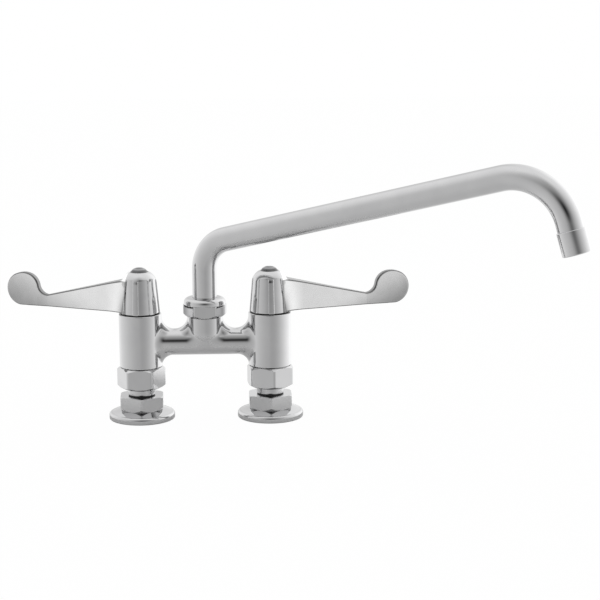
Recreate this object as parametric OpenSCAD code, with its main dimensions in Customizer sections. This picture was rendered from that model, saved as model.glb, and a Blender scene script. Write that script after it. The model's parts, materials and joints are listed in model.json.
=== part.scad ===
// Deck-mount mixing faucet with two quarter-turn valves, wrist blade handles and a swivel spout.
// Millimetres. The origin lies on the deck, midway between the two inlets.
// +X points to the cold side, -Y to the user and +Z up.

/* [Layout] */
// Distance between the centres of the two inlets
inlet_spacing = 101.6; // [96:0.2:104]
// How far the hot handle is swept back when its valve is closed
hot_rest_angle = 24.5; // [0:0.5:30]
// How far the cold handle is swept back when its valve is closed
cold_rest_angle = 18; // [0:0.5:30]
// How far the spout stands to the front of the cold side
spout_rest_angle = 30.5; // [0:0.5:90]

/* [Inlet legs] */
// Diameter of the round deck flange
flange_d = 51.8; // [48:0.2:70]
// Height of the flange at its rim
flange_rim_h = 5.5; // [4.5:0.1:8]
// Radius of the flange's rounded upper edge
flange_edge_r = 2.4; // [1:0.1:3]
// Rise of the flange's domed top
flange_dome_h = 2.4; // [1:0.1:4]
// Diameter of the round foot of the base hexagon
base_neck_d = 33; // [27:0.1:33]
// Height of that round foot
base_neck_h = 0.9; // [0.2:0.1:3]
// Width of the base hexagon across its flats
base_hex_af = 33.3; // [32:0.1:36]
// Height of the base hexagon
base_hex_h = 9.9; // [9:0.1:16]
// Diameter of the threaded inlet hole, at the tap drill size of a half-inch pipe thread
inlet_thread_d = 18.3; // [17.5:0.1:20]
// Depth of the threaded inlet hole
inlet_thread_depth = 12; // [11:0.1:13]
// Diameter to which the corners of the base hexagon are turned
base_corner_d = 37.8; // [35:0.1:38.4]
// Height of the bevel on the corners of the base hexagon
base_hex_bevel = 1; // [0.4:0.1:2]
// Diameter of the waterway up each leg
waterway_d = 15; // [10:0.1:15.8]
// Outer diameter of the black seal between base hexagon and tailpiece
tail_seal_d = 20.8; // [19:0.1:21]
// Thickness of that seal
tail_seal_h = 1.5; // [0.8:0.1:2]
// Diameter of the tailpiece's thread in the base hexagon
tail_thread_d = 16.8; // [16.4:0.1:17.2]
// Outer diameter of the tailpiece
tail_d = 21.6; // [21:0.1:23.4]
// Length of tailpiece in view between the seal and the coupling nut
tail_view_h = 4.3; // [2:0.1:20]
// Diameter of the tailpiece's collar
collar_d = 28.4; // [26:0.1:29]
// Thickness of the tailpiece's collar
collar_h = 3; // [2:0.1:4]
// Thickness of the inlet washer
washer_h = 2; // [1:0.1:3]
// Width of the coupling nut across its flats
coupling_af = 33.8; // [33.6:0.1:38]
// Diameter to which the corners of the coupling nut are turned
coupling_corner_d = 38.8; // [38.2:0.1:40.6]
// Height of the coupling nut
coupling_h = 17.2; // [15:0.1:24]
// Thickness of the coupling nut's lip
coupling_lip_h = 3.4; // [2:0.1:5]
// Diameter of the coupling nut's turned lower face
coupling_foot_d = 28.4; // [26:0.1:33]
// Height of the bevel round that face
coupling_foot_bevel = 2.7; // [1:0.1:3.3]
// Height of the bevel round the nut's upper face
coupling_head_bevel = 1.8; // [0.8:0.1:2.5]
// Turn of the hot coupling nut as tightened
hot_coupling_turn = 54.4; // [0:0.1:60]
// Turn of the cold coupling nut as tightened
cold_coupling_turn = 38.9; // [0:0.1:60]
// Turn of both base hexagons, with a corner to the front
base_hex_turn = 31; // [0:0.1:60]

/* [Body casting] */
// Diameter of the threaded foot under each tower
spigot_d = 30; // [29:0.1:31]
// Outer diameter of a tower
tower_d = 33.4; // [32:0.1:34.4]
// Height of a tower above its coupling nut
tower_h = 42.6; // [41.7:0.1:60]
// Outer diameter of the bridge
bridge_d = 20.8; // [18:0.1:21]
// Height of the bridge's axis above the foot of the towers
bridge_h = 19.5; // [19.4:0.1:21]
// Outer diameter of the outlet boss
boss_d = 27.6; // [27:0.1:30]
// Height of the boss's round lower end above the axis of the bridge
boss_end_h = 9.6; // [9.2:0.1:12]
// Radius of the fillets under the bridge
under_fillet_r = 9; // [4:0.1:9]
// Width of the broken edges of the casting
casting_edge = 0.6; // [0.2:0.1:1]
// Diameter of the passage through the bridge
bridge_bore_d = 12; // [8:0.1:13]

/* [Swivel] */
// Diameter of the thread on the outlet boss
nipple_d = 24.6; // [24:0.1:25.4]
// Height of that thread
nipple_h = 7.7; // [6:0.1:9]
// Width of the swivel nut across its flats
swivel_af = 30; // [29.8:0.1:32.8]
// Diameter to which the corners of the swivel nut are turned
swivel_corner_d = 34.5; // [34:0.1:35.5]
// Height of the swivel nut's hexagon
swivel_hex_h = 9.5; // [8:0.1:12]
// Height of the bevel round the swivel nut's lower face
swivel_bevel = 2.4; // [1:0.1:3]
// Diameter of the swivel nut's round collar
swivel_collar_d = 32.8; // [31.5:0.1:36]
// Height of the swivel nut's round collar
swivel_collar_h = 5.3; // [5:0.1:8]
// Radius of the collar's rounded upper edge
swivel_edge_r = 3.8; // [1:0.1:4]
// Turn of the swivel nut as tightened
swivel_turn = 57; // [0:0.1:60]
// Outer diameter of the swivel shank in the body
shank_d = 19; // [17:0.1:19.2]
// Depth of the shank in the body below the thread's top
shank_depth = 24.5; // [18:0.1:26]
// Bore of the swivel shank
shank_bore_d = 11; // [8:0.1:11.4]
// Diameter of the shank's shoulder under the nut
shoulder_d = 23.8; // [22:0.1:24]
// Thickness of that shoulder
shoulder_h = 2; // [1.5:0.1:3]
// Thickness of the thrust washer on the shoulder
thrust_washer_h = 1; // [0.6:0.1:1.4]
// Length of the shank's spigot in the spout tube
shank_spigot_h = 9.5; // [5:0.1:14]

/* [Spout] */
// Outer diameter of the spout tube
tube_d = 19.05; // [17:0.05:19.2]
// Wall of the spout tube
tube_wall = 1.2; // [0.8:0.1:1.8]
// Distance of the outlet from the swivel axis
spout_reach = 304.8; // [152:0.2:360]
// Height of the corner of riser and arm above the swivel nut
riser_h = 42.25; // [36:0.05:90]
// Rise of the arm above level
arm_angle = 14.8; // [0:0.1:30]
// Slope of the outlet below level
tip_angle = 73; // [60:0.1:90]
// Centreline radius of the bend over the riser
low_bend_r = 26; // [20:0.5:30]
// Centreline radius of the bend at the outlet
high_bend_r = 42; // [30:0.5:60]
// Straight length from the outlet's bend to the outlet
tip_len = 23; // [19:0.1:60]

/* [Aerator] */
// Outer diameter of the aerator housing
aerator_d = 20.8; // [20.6:0.1:26]
// Length of the aerator housing
aerator_h = 17.6; // [16:0.1:18.5]
// Thickness of the housing's lip at the outlet
aerator_lip_h = 1; // [0.6:0.1:2]
// Width of the housing's lip
aerator_lip_w = 1.9; // [1:0.1:2.4]
// Length of the flow straightener
insert_h = 8; // [6:0.1:9]
// Diameter of a hole in the flow straightener
insert_hole_d = 1.3; // [0.8:0.1:1.7]
// Distance between the rings of holes
insert_ring_step = 2.25; // [2:0.05:2.3]
// Thickness of the aerator washer
aerator_washer_h = 1.5; // [1:0.1:2]

/* [Valve cartridges] */
// Diameter of the valve chamber and of the cartridge's thread
chamber_d = 22; // [21.6:0.1:23]
// Height of the valve seat above the foot of the towers
seat_h = 11.6; // [9:0.1:12.5]
// Thickness of the rubber seat seal
seat_seal_h = 2.5; // [1.5:0.1:3]
// Outer diameter of the cartridge's barrel
barrel_d = 18.4; // [18:0.1:19.4]
// Diameter of the ceramic discs
disc_d = 15.4; // [14:0.1:15.6]
// Thickness of the fixed disc
fixed_disc_h = 3.5; // [2.5:0.1:4]
// Thickness of the moving disc
moving_disc_h = 3; // [2.5:0.1:4]
// Opening of each water port in the discs
port_angle = 70; // [40:1:80]
// Width of the side windows that let the water out of the cartridge
window_w = 9.2; // [6:0.1:12]
// Thickness of the stem's drive plate
drive_plate_h = 2.5; // [2:0.1:4]
// Width of the drive key between stem and moving disc
drive_key_w = 3; // [2:0.1:3.6]
// Depth of that key
drive_key_h = 1.2; // [0.8:0.1:1.6]
// Diameter of the stem
stem_d = 9; // [8.8:0.1:9.4]
// Width of the stem's square drive
stem_square = 6.2; // [6:0.1:6.4]
// Height of the stem's square drive
stem_square_h = 9.8; // [8:0.1:10.2]
// Diameter of the cartridge's flange on the tower
cartridge_flange_d = 25; // [24:0.1:25.6]
// Thickness of that flange
cartridge_flange_h = 2; // [1.6:0.1:2.8]
// Thickness of the gasket under the flange
gasket_h = 1; // [0.6:0.1:1.5]
// How far the flange stands above the tower
flange_proud = 0.2; // [0:0.1:0.3]
// Width of the cartridge's hexagon across its flats
bonnet_af = 18; // [16:0.1:18.6]
// Length of the cartridge's thread
cartridge_thread_h = 10; // [6:0.5:12]
// Height of the cartridge's hexagon
bonnet_h = 9; // [6:0.1:9.4]
// Diameter of the cartridge's neck above the hexagon
bonnet_neck_d = 14.4; // [13:0.1:15.6]
// Height of that neck
bonnet_neck_h = 3.5; // [2:0.1:3.9]
// Diameter of the stem clip
clip_d = 13; // [12:0.1:14]
// Thickness of the stem clip
clip_h = 0.9; // [0.6:0.1:1.2]

/* [Handles] */
// Dark gap between a tower and its handle
handle_gap = 0.8; // [0.8:0.1:1.5]
// Outer diameter of the dust seal between tower and hub
dust_seal_d = 30.6; // [28:0.1:31]
// Bore of the dust seal
dust_seal_bore_d = 25.6; // [25.5:0.1:27]
// Thickness of the dust seal
dust_seal_h = 0.5; // [0.3:0.05:0.5]
// Diameter of the handle hub at its foot
hub_foot_d = 31.6; // [30:0.1:33]
// Diameter of the hub below its shoulder
hub_top_d = 26.8; // [26:0.1:29]
// Height of the hub
hub_h = 31.9; // [31.5:0.1:38]
// Radius of the hub's rounded shoulder
hub_shoulder_r = 4.6; // [3:0.1:5]
// Diameter of the hollow under the hub
hub_hollow_d = 22.4; // [22.2:0.1:23.4]
// Depth of the hub's recessed panels
panel_depth = 0.8; // [0.3:0.1:1]
// Width of a recessed panel, as an angle
panel_angle = 34; // [20:1:40]
// Pitch of the recessed panels
panel_pitch = 51; // [45:1:53]
// Height of the hub's plain band above the panels
panel_top_gap = 4.4; // [3:0.1:10]
// Distance from the stem to the tip of the blade
handle_reach = 118.4; // [100:0.2:160]
// Radius of the round paddle
paddle_r = 13.2; // [10:0.1:16]
// Height of the paddle's centre above the hub's foot
paddle_z = 12; // [11:0.1:30]
// Distance of the notch from the paddle's centre
notch_back = 22.7; // [18:0.1:40]
// Height of the notch above the hub's foot
notch_z = 8.8; // [7.5:0.1:14]
// Radius of the hollow curve from the notch up to the paddle
notch_fillet_r = 22; // [14:0.5:30]
// Height of the blade at the hub
blade_root_h = 25.6; // [18:0.1:27]
// Height of the blade's lower edge above the hub's foot
blade_foot_z = 0.3; // [0.2:0.1:2]
// Thickness that the blade's straight faces would have at the hub's axis
blade_root_t = 18.6; // [14:0.1:21]
// Distance at which the blade begins to flare towards the hub
flare_u = 26; // [20:0.5:40]
// Thickness of the paddle
paddle_t = 5.4; // [4:0.1:8]
// Radius of the paddle's rounded rim
paddle_edge_r = 1.6; // [0.5:0.1:1.9]
// Diameter of the index button
button_d = 14; // [12:0.1:15]
// Thickness of the button's rim in the hub
button_rim_h = 2.8; // [2:0.1:3.2]
// Rise of the button's dome
button_dome_h = 3.9; // [2:0.1:5]
// Diameter of the small flat on top of the dome
button_flat_d = 1.6; // [1:0.1:4]
// Width of the ledge that carries the button
button_ledge_w = 1.5; // [1:0.1:1.6]
// Thickness of the web under the handle screw's head
screw_web_h = 2.5; // [2:0.1:2.9]
// Diameter of the handle screw's head
screw_head_d = 8; // [7:0.1:8.4]
// Height of the handle screw's head
screw_head_h = 2.6; // [2:0.1:2.8]
// Diameter of the handle screw
screw_d = 4.1; // [3.5:0.1:4.2]
// Length of the handle screw in the stem
screw_grip_h = 7; // [4:0.1:7.4]

/* [Seals] */
// Section diameter of the spout's O-rings
spout_ring_t = 2.6; // [2:0.1:2.8]
// Section diameter of the stem's O-rings
stem_ring_t = 1.8; // [1.2:0.1:1.9]

/* [Fits] */
// Radial clearance of a turning fit
run_gap = 0.05; // [0.02:0.01:0.09]
// Radial clearance of a screwed or pushed fit
seat_gap = 0.05; // [0.02:0.01:0.09]
// Clearance between two flat faces that slide
slide_gap = 0.05; // [0.02:0.01:0.1]

/* [Hidden] */
$fn = 96;

// How far a cut runs past the face that it opens, or a bar into its neighbour
lap = 1;
// Length by which the bends of the spout reach into its straights, and how much thinner they are drawn
bend_lap = 0.4;
bend_step = 0.05;
// Small turned edges of nuts and machined parts
fine_edge = 0.5;
// How far the turned circles of the hexagons lie outside or inside their flats
hex_foot_over = 1.2;
hex_head_over = 0.9;
nut_head_under = 0.4;
// Room round parts that pass through a piece without touching it
slip_gap = 0.3;
screw_gap = 0.4;
disc_gap = 0.1;
// Depth of the clip's groove in the stem, and the mouth of the clip left closed on each side
clip_groove = 0.9;
clip_play = 0.02;
clip_grip = 1.4;
// Radii of the disc ports: inner edge, rim left outside, and roof left over a passage
port_inner_r = 2;
port_rim_w = 1.2;
passage_inner_r = 3;
passage_roof_h = 0.3;
// Lead between the stem's clip and its square
square_lead = 0.6;
// First O-ring above the end of its bore, and the pitch of the two rings, on stem and shank
stem_ring_lead = 5;
stem_ring_pitch = 5;
shank_ring_lead = 5;
shank_ring_pitch = 7;
// Slot of the handle screw
screw_slot_l = 4.8;
screw_slot_w = 1;
screw_slot_h = 1.4;
screw_head_edge_r = 1;
// Wall and floor of the flow straightener
insert_wall = 1.1;
insert_floor_h = 3;
// How far the aerator washer reaches inside the tube's bore
aerator_washer_over = 1.5;

// Sides of the faucet, as factors of half the inlet spacing
hot = -1;
cold = 1;
hot_blade_turn = 180 - hot_rest_angle;
cold_blade_turn = cold_rest_angle;

// Heights up a leg
flange_top = flange_rim_h + flange_dome_h;
base_hex_z = flange_top + base_neck_h;
base_top = base_hex_z + base_hex_h;
tail_z = base_top + tail_seal_h;
coupling_z = tail_z + tail_view_h;
collar_z = coupling_z + coupling_lip_h;
washer_z = collar_z + collar_h;
spigot_z = washer_z + washer_h;
foot_z = coupling_z + coupling_h;

// Heights and radii of the body casting
tower_r = tower_d / 2;
bridge_r = bridge_d / 2;
boss_r = boss_d / 2;
bridge_z = foot_z + bridge_h;
saddle_r = (inlet_spacing / 2 - tower_r - boss_r) / 2;
saddle_x = boss_r + saddle_r;
boss_end_z = bridge_z + boss_end_h;
boss_top = bridge_z + bridge_r + saddle_r;
tower_top = foot_z + tower_h;
under_x = inlet_spacing / 2 - tower_r - under_fillet_r;
nipple_top = boss_top + nipple_h;

// Heights through the swivel
shank_z = nipple_top - shank_depth;
shoulder_z = nipple_top + slide_gap;
tube_z = shoulder_z + shoulder_h;
lip_z = tube_z + thrust_washer_h + slide_gap;
swivel_top = boss_top + swivel_hex_h + swivel_collar_h;

// Line of the spout in its own plane
tube_r = tube_d / 2;
tube_bore_r = tube_r - tube_wall;
corner_z = swivel_top + riser_h;
low_turn = 90 - arm_angle;
high_turn = arm_angle + tip_angle;
low_tangent = low_bend_r * tan(low_turn / 2);
high_tangent = high_bend_r * tan(high_turn / 2);
riser_top = corner_z - low_tangent;
high_corner_s = spout_reach - (high_tangent + tip_len) * cos(tip_angle);
high_corner_z = corner_z + high_corner_s * tan(arm_angle);
arm_len = high_corner_s / cos(arm_angle) - low_tangent - high_tangent;
outlet_z = high_corner_z - (high_tangent + tip_len) * sin(tip_angle);

// Lengths in the aerator, counted back from the outlet
aerator_r = aerator_d / 2;
insert_z = aerator_lip_h + slide_gap;
aerator_washer_z = insert_z + insert_h;
tube_end = aerator_washer_z + aerator_washer_h;

// Heights in a valve, from the seat up
seat_z = foot_z + seat_h;
barrel_z = seat_z + seat_seal_h;
moving_disc_z = barrel_z + fixed_disc_h + slide_gap;
drive_plate_z = moving_disc_z + moving_disc_h;
cavity_top = drive_plate_z + drive_plate_h + slide_gap;
flange_z = tower_top + flange_proud - cartridge_flange_h;
gasket_z = flange_z - gasket_h;
bonnet_z = flange_z + cartridge_flange_h;
bonnet_neck_z = bonnet_z + bonnet_h;
bonnet_top = bonnet_neck_z + bonnet_neck_h;
clip_z = bonnet_top + slide_gap;
square_z = clip_z + clip_h + square_lead;
stem_top = square_z + stem_square_h;
stem_r = stem_d / 2;
thread_z = gasket_z - cartridge_thread_h;
disc_r = disc_d / 2;
cavity_r = disc_r + disc_gap;

// Heights in a handle
hub_z = tower_top + handle_gap;
hub_top = hub_z + hub_h;
web_z = stem_top + disc_gap;
recess_z = web_z + screw_web_h;
ledge_z = hub_top - button_rim_h;
button_r = button_d / 2;
paddle_u = handle_reach - paddle_r;
notch_u = paddle_u - notch_back;
blade_foot = hub_z + blade_foot_z;
blade_top = blade_foot + blade_root_h;
root_u = 12;

// Places a piece on one leg, turned about the leg's axis
module on_leg(side, turn = 0) {
    translate([side * inlet_spacing / 2, 0, 0])
        rotate([0, 0, turn])
            children();
}

// Round bar or ring between two heights
module ring(outer_r, inner_r, z0, z1) {
    translate([0, 0, z0])
        difference() {
            cylinder(r = outer_r, h = z1 - z0);
            translate([0, 0, -lap])
                cylinder(r = inner_r, h = z1 - z0 + 2 * lap);
        }
}

// Hole between two heights
module hole(r, z0, z1) {
    translate([0, 0, z0])
        cylinder(r = r, h = z1 - z0);
}

// Hexagonal bar whose corners are turned round, and turned down further at both ends
module turned_hex(af, corner_r, z0, z1, foot_r, foot_h, head_r, head_h) {
    intersection() {
        translate([0, 0, z0])
            cylinder(r = af / 2 / cos(30), h = z1 - z0, $fn = 6);
        rotate_extrude()
            polygon([[0, z0], [foot_r, z0], [corner_r, z0 + foot_h],
                [corner_r, z1 - head_h], [head_r, z1], [0, z1]]);
    }
}

// Half outline of a disc whose upper edge is rounded
module soft_disc(r, h, edge_r) {
    square([r - edge_r, h]);
    square([r, h - edge_r]);
    translate([r - edge_r, h - edge_r])
        circle(r = edge_r);
}

// Half outline of a spherical cap that rises from one radius to a smaller one
module cap_outline(low_r, high_r, rise) {
    drop = (low_r * low_r - high_r * high_r - rise * rise) / (2 * rise);
    intersection() {
        translate([0, -drop])
            circle(r = sqrt(low_r * low_r + drop * drop));
        square([low_r, rise]);
    }
}

// Round bar bent in the XZ plane, from one angle to another
module bend(x, z, bend_r, bar_r, from, sweep) {
    translate([x, 0, z])
        rotate([90, 0, 0])
            rotate([0, 0, from])
                rotate_extrude(angle = sweep)
                    translate([bend_r, 0])
                        circle(r = bar_r);
}

// Inlet leg

module inlet_flange(side) {
    color("silver")
        on_leg(side, base_hex_turn)
            difference() {
                union() {
                    rotate_extrude()
                        soft_disc(flange_d / 2, flange_rim_h, flange_edge_r);
                    translate([0, 0, flange_rim_h])
                        rotate_extrude()
                            cap_outline(flange_d / 2 - flange_edge_r, base_neck_d / 2, flange_dome_h);
                    hole(base_neck_d / 2, flange_rim_h, base_hex_z + lap);
                    turned_hex(base_hex_af, base_corner_d / 2, base_hex_z, base_top,
                        base_hex_af / 2 + hex_foot_over, fine_edge,
                        base_hex_af / 2 + hex_head_over, base_hex_bevel);
                }
                hole(inlet_thread_d / 2, -lap, inlet_thread_depth);
                hole(tail_thread_d / 2 + seat_gap, inlet_thread_depth - lap, base_top + lap);
            }
}

module tailpiece(side) {
    color("silver")
        on_leg(side)
            difference() {
                union() {
                    hole(tail_thread_d / 2, inlet_thread_depth, tail_z + lap);
                    hole(tail_d / 2, tail_z, collar_z + lap);
                    hole(collar_d / 2, collar_z, washer_z);
                }
                hole(waterway_d / 2, inlet_thread_depth - lap, washer_z + lap);
            }
}

module tail_seal(side) {
    color("dimgray")
        on_leg(side)
            ring(tail_seal_d / 2, tail_thread_d / 2 + seat_gap, base_top, tail_z);
}

module coupling_nut(side, turn) {
    color("silver")
        on_leg(side, turn)
            difference() {
                turned_hex(coupling_af, coupling_corner_d / 2, coupling_z, foot_z, coupling_foot_d / 2,
                    coupling_foot_bevel, coupling_af / 2 - nut_head_under, coupling_head_bevel);
                hole(tail_d / 2 + slip_gap, coupling_z - lap, foot_z);
                hole(spigot_d / 2 + seat_gap, collar_z, foot_z + lap);
            }
}

module inlet_washer(side) {
    color("dimgray")
        on_leg(side)
            ring(collar_d / 2, waterway_d / 2, washer_z, spigot_z);
}

// Body casting

// Upper saddle between a tower and the outlet boss, a half ring below the boss's top
module saddle(side) {
    translate([side * saddle_x, 0, 0])
        bend(0, boss_top, saddle_r + bridge_r, bridge_r, 180, 180);
}

// Fillet between the bridge's underside and a tower
module under_fillet(side) {
    mirror([side < 0 ? 1 : 0, 0, 0])
        bend(under_x, bridge_z - bridge_r - under_fillet_r, under_fillet_r + bridge_r, bridge_r, 0, 90);
}

// Water passages and valve chamber of one tower
module tower_cuts() {
    hole(waterway_d / 2, spigot_z - lap, seat_z + lap);
    hole(chamber_d / 2 + seat_gap, seat_z, tower_top + lap);
    hole(cartridge_flange_d / 2 + seat_gap, gasket_z, tower_top + lap);
}

module tower() {
    rotate_extrude()
        polygon([[0, spigot_z], [spigot_d / 2, spigot_z], [spigot_d / 2, foot_z],
            [tower_r - casting_edge, foot_z], [tower_r, foot_z + casting_edge],
            [tower_r, tower_top - casting_edge], [tower_r - casting_edge, tower_top], [0, tower_top]]);
}

// Outlet boss, whose round lower end dies into the bridge, and its thread above
module boss() {
    rotate_extrude()
        intersection() {
            translate([0, boss_end_z])
                circle(r = boss_r);
            translate([0, bridge_z])
                square([boss_r, boss_end_h]);
        }
    hole(boss_r, boss_end_z, boss_top);
    hole(nipple_d / 2, boss_top - lap, nipple_top);
}

module body_casting() {
    color("silver")
        difference() {
            union() {
                for (side = [hot, cold]) {
                    on_leg(side)
                        tower();
                    saddle(side);
                    under_fillet(side);
                }
                translate([-inlet_spacing / 2, 0, bridge_z])
                    rotate([0, 90, 0])
                        cylinder(r = bridge_r, h = inlet_spacing);
                boss();
            }
            for (side = [hot, cold])
                on_leg(side)
                    tower_cuts();
            translate([-inlet_spacing / 2, 0, bridge_z])
                rotate([0, 90, 0])
                    cylinder(d = bridge_bore_d, h = inlet_spacing);
            hole(shank_bore_d / 2, bridge_z, nipple_top + lap);
            hole(shank_d / 2 + run_gap, shank_z - slide_gap, nipple_top + lap);
        }
}

module swivel_nut() {
    color("silver")
        rotate([0, 0, swivel_turn])
            difference() {
                union() {
                    turned_hex(swivel_af, swivel_corner_d / 2, boss_top, boss_top + swivel_hex_h,
                        boss_r + fine_edge, swivel_bevel, swivel_corner_d / 2 - fine_edge, fine_edge);
                    translate([0, 0, boss_top + swivel_hex_h])
                        rotate_extrude()
                            soft_disc(swivel_collar_d / 2, swivel_collar_h, swivel_edge_r);
                }
                hole(nipple_d / 2 + seat_gap, boss_top - lap, lip_z);
                hole(tube_r + run_gap, lip_z - lap, swivel_top + lap);
            }
}

// Valve cartridge

module seat_seal(side) {
    color("dimgray")
        on_leg(side)
            ring(barrel_d / 2, waterway_d / 2, seat_z, barrel_z);
}

// Two opposite water ports of a disc
module ports(turn, z0, z1, inner_r, outer_r) {
    for (half = [0, 180])
        rotate([0, 0, turn + half - port_angle / 2])
            translate([0, 0, z0])
                rotate_extrude(angle = port_angle)
                    translate([inner_r, 0])
                        square([outer_r - inner_r, z1 - z0]);
}

module fixed_disc(side) {
    color("white")
        on_leg(side)
            difference() {
                hole(disc_r, barrel_z, barrel_z + fixed_disc_h);
                ports(0, barrel_z - lap, barrel_z + fixed_disc_h + lap, port_inner_r, disc_r - port_rim_w);
            }
}

module moving_disc(side) {
    color("white")
        on_leg(side)
            difference() {
                hole(disc_r, moving_disc_z, drive_plate_z);
                ports(90, moving_disc_z - lap, drive_plate_z - drive_key_h - passage_roof_h, passage_inner_r,
                    disc_r + lap);
                translate([-disc_d, -drive_key_w / 2 - seat_gap, drive_plate_z - drive_key_h])
                    cube([2 * disc_d, drive_key_w + 2 * seat_gap, drive_key_h + lap]);
            }
}

module cartridge_body(side) {
    color("goldenrod")
        on_leg(side)
            difference() {
                union() {
                    hole(barrel_d / 2, barrel_z, thread_z + lap);
                    hole(chamber_d / 2, thread_z, flange_z + lap);
                    hole(cartridge_flange_d / 2, flange_z, bonnet_z);
                    turned_hex(bonnet_af, bonnet_af / 2 / cos(30), bonnet_z - lap, bonnet_neck_z,
                        bonnet_af / 2, lap, bonnet_af / 2 + fine_edge, fine_edge);
                    hole(bonnet_neck_d / 2, bonnet_neck_z - lap, bonnet_top);
                }
                hole(cavity_r, barrel_z - lap, cavity_top);
                hole(stem_r + run_gap, cavity_top - lap, bonnet_top + lap);
                translate([-chamber_d, -window_w / 2, moving_disc_z])
                    cube([2 * chamber_d, window_w, moving_disc_h]);
            }
}

module cartridge_gasket(side) {
    color("dimgray")
        on_leg(side)
            ring(cartridge_flange_d / 2, chamber_d / 2 + seat_gap, gasket_z, flange_z);
}

// Heights of the two O-rings on a stem
function stem_ring_z(i) = cavity_top + stem_ring_lead + stem_ring_pitch * i;

module stem(side, turn) {
    groove_r = stem_r - stem_ring_t;
    color("goldenrod")
        on_leg(side)
            difference() {
                union() {
                    hole(disc_r, drive_plate_z, drive_plate_z + drive_plate_h);
                    translate([-disc_r + port_rim_w, -drive_key_w / 2, drive_plate_z - drive_key_h])
                        cube([disc_d - 2 * port_rim_w, drive_key_w, drive_key_h + lap]);
                    hole(stem_r, drive_plate_z + lap, square_z);
                    rotate([0, 0, turn])
                        translate([-stem_square / 2, -stem_square / 2, square_z - lap])
                            cube([stem_square, stem_square, stem_square_h + lap]);
                }
                for (i = [0, 1])
                    ring(stem_r + lap, groove_r, stem_ring_z(i) - stem_ring_t / 2 - slip_gap,
                        stem_ring_z(i) + stem_ring_t / 2 + slip_gap);
                ring(stem_r + lap, stem_r - clip_groove, clip_z - clip_play, clip_z + clip_h + clip_play);
                hole(screw_d / 2 + seat_gap, stem_top - screw_grip_h - lap, stem_top + lap);
            }
}

module stem_o_rings(side) {
    color("dimgray")
        on_leg(side)
            for (i = [0, 1])
                translate([0, 0, stem_ring_z(i)])
                    rotate_extrude()
                        translate([stem_r - stem_ring_t / 2, 0])
                            circle(d = stem_ring_t, $fn = 32);
}

// Snap ring with a mouth that slips over the stem's groove
module stem_clip(side, turn) {
    color("gray")
        on_leg(side, turn)
            difference() {
                ring(clip_d / 2, stem_r - clip_groove + seat_gap, clip_z, clip_z + clip_h);
                translate([0, -stem_r + clip_grip, clip_z - lap])
                    cube([clip_d, stem_d - 2 * clip_grip, clip_h + 2 * lap]);
            }
}

// Handle

// Round hub, tapered, with a rounded shoulder
module hub_outline() {
    foot_r = hub_foot_d / 2;
    top_r = hub_top_d / 2;
    shoulder_z = hub_top - hub_shoulder_r;
    polygon([[0, hub_z], [foot_r - fine_edge, hub_z], [foot_r, hub_z + fine_edge],
        [top_r, shoulder_z], [0, shoulder_z]]);
    translate([0, shoulder_z - lap])
        square([top_r - hub_shoulder_r, hub_shoulder_r + lap]);
    intersection() {
        translate([top_r - hub_shoulder_r, shoulder_z])
            circle(r = hub_shoulder_r);
        translate([0, shoulder_z])
            square([top_r, hub_shoulder_r]);
    }
}

// Recessed panels round the side of the hub away from the blade
module hub_panels() {
    panel_top = hub_top - panel_top_gap;
    slope = (hub_foot_d - hub_top_d) / 2 / (hub_h - hub_shoulder_r);
    foot_r = hub_foot_d / 2 - panel_depth;
    for (i = [-2 : 2])
        rotate([0, 0, 180 + i * panel_pitch - panel_angle / 2])
            rotate_extrude(angle = panel_angle)
                polygon([[foot_r + slope * lap, hub_z - lap], [hub_foot_d, hub_z - lap],
                    [hub_foot_d, panel_top], [foot_r - slope * (panel_top - hub_z), panel_top]]);
}

// Side view of the blade up to the middle of the paddle
module blade_outline() {
    paddle_h = hub_z + paddle_z;
    notch_h = hub_z + notch_z;
    span = norm([notch_back, paddle_z - notch_z]);
    hollow_r = notch_fillet_r;
    far_r = paddle_r + hollow_r;
    lean = acos((hollow_r * hollow_r + span * span - far_r * far_r) / (2 * hollow_r * span));
    aim = lean + atan2(paddle_z - notch_z, notch_back);
    hollow_u = notch_u + hollow_r * cos(aim);
    hollow_h = notch_h + hollow_r * sin(aim);
    touch = atan2(paddle_h - hollow_h, paddle_u - hollow_u);
    touch_u = hollow_u + hollow_r * cos(touch);
    touch_h = hollow_h + hollow_r * sin(touch);
    foot_span = norm([paddle_u - root_u, paddle_h - blade_foot]);
    foot_turn = atan2(paddle_h - blade_foot, paddle_u - root_u) - asin(paddle_r / foot_span);
    difference() {
        polygon([[0, blade_foot], [root_u, blade_foot],
            [paddle_u + paddle_r * sin(foot_turn), paddle_h - paddle_r * cos(foot_turn)],
            [paddle_u, paddle_h], [touch_u, touch_h], [notch_u, notch_h],
            [root_u, blade_top], [0, blade_top]]);
        intersection() {
            translate([hollow_u, hollow_h])
                circle(r = hollow_r);
            translate([notch_u, notch_h - lap])
                square(far_r);
        }
    }
}

// Round paddle with soft rims
module paddle() {
    for (face = [0, 1])
        mirror([0, face, 0])
            translate([paddle_u, 0, hub_z + paddle_z])
                rotate([90, 0, 0])
                    rotate_extrude()
                        soft_disc(paddle_r, paddle_t / 2, paddle_edge_r);
}

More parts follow.
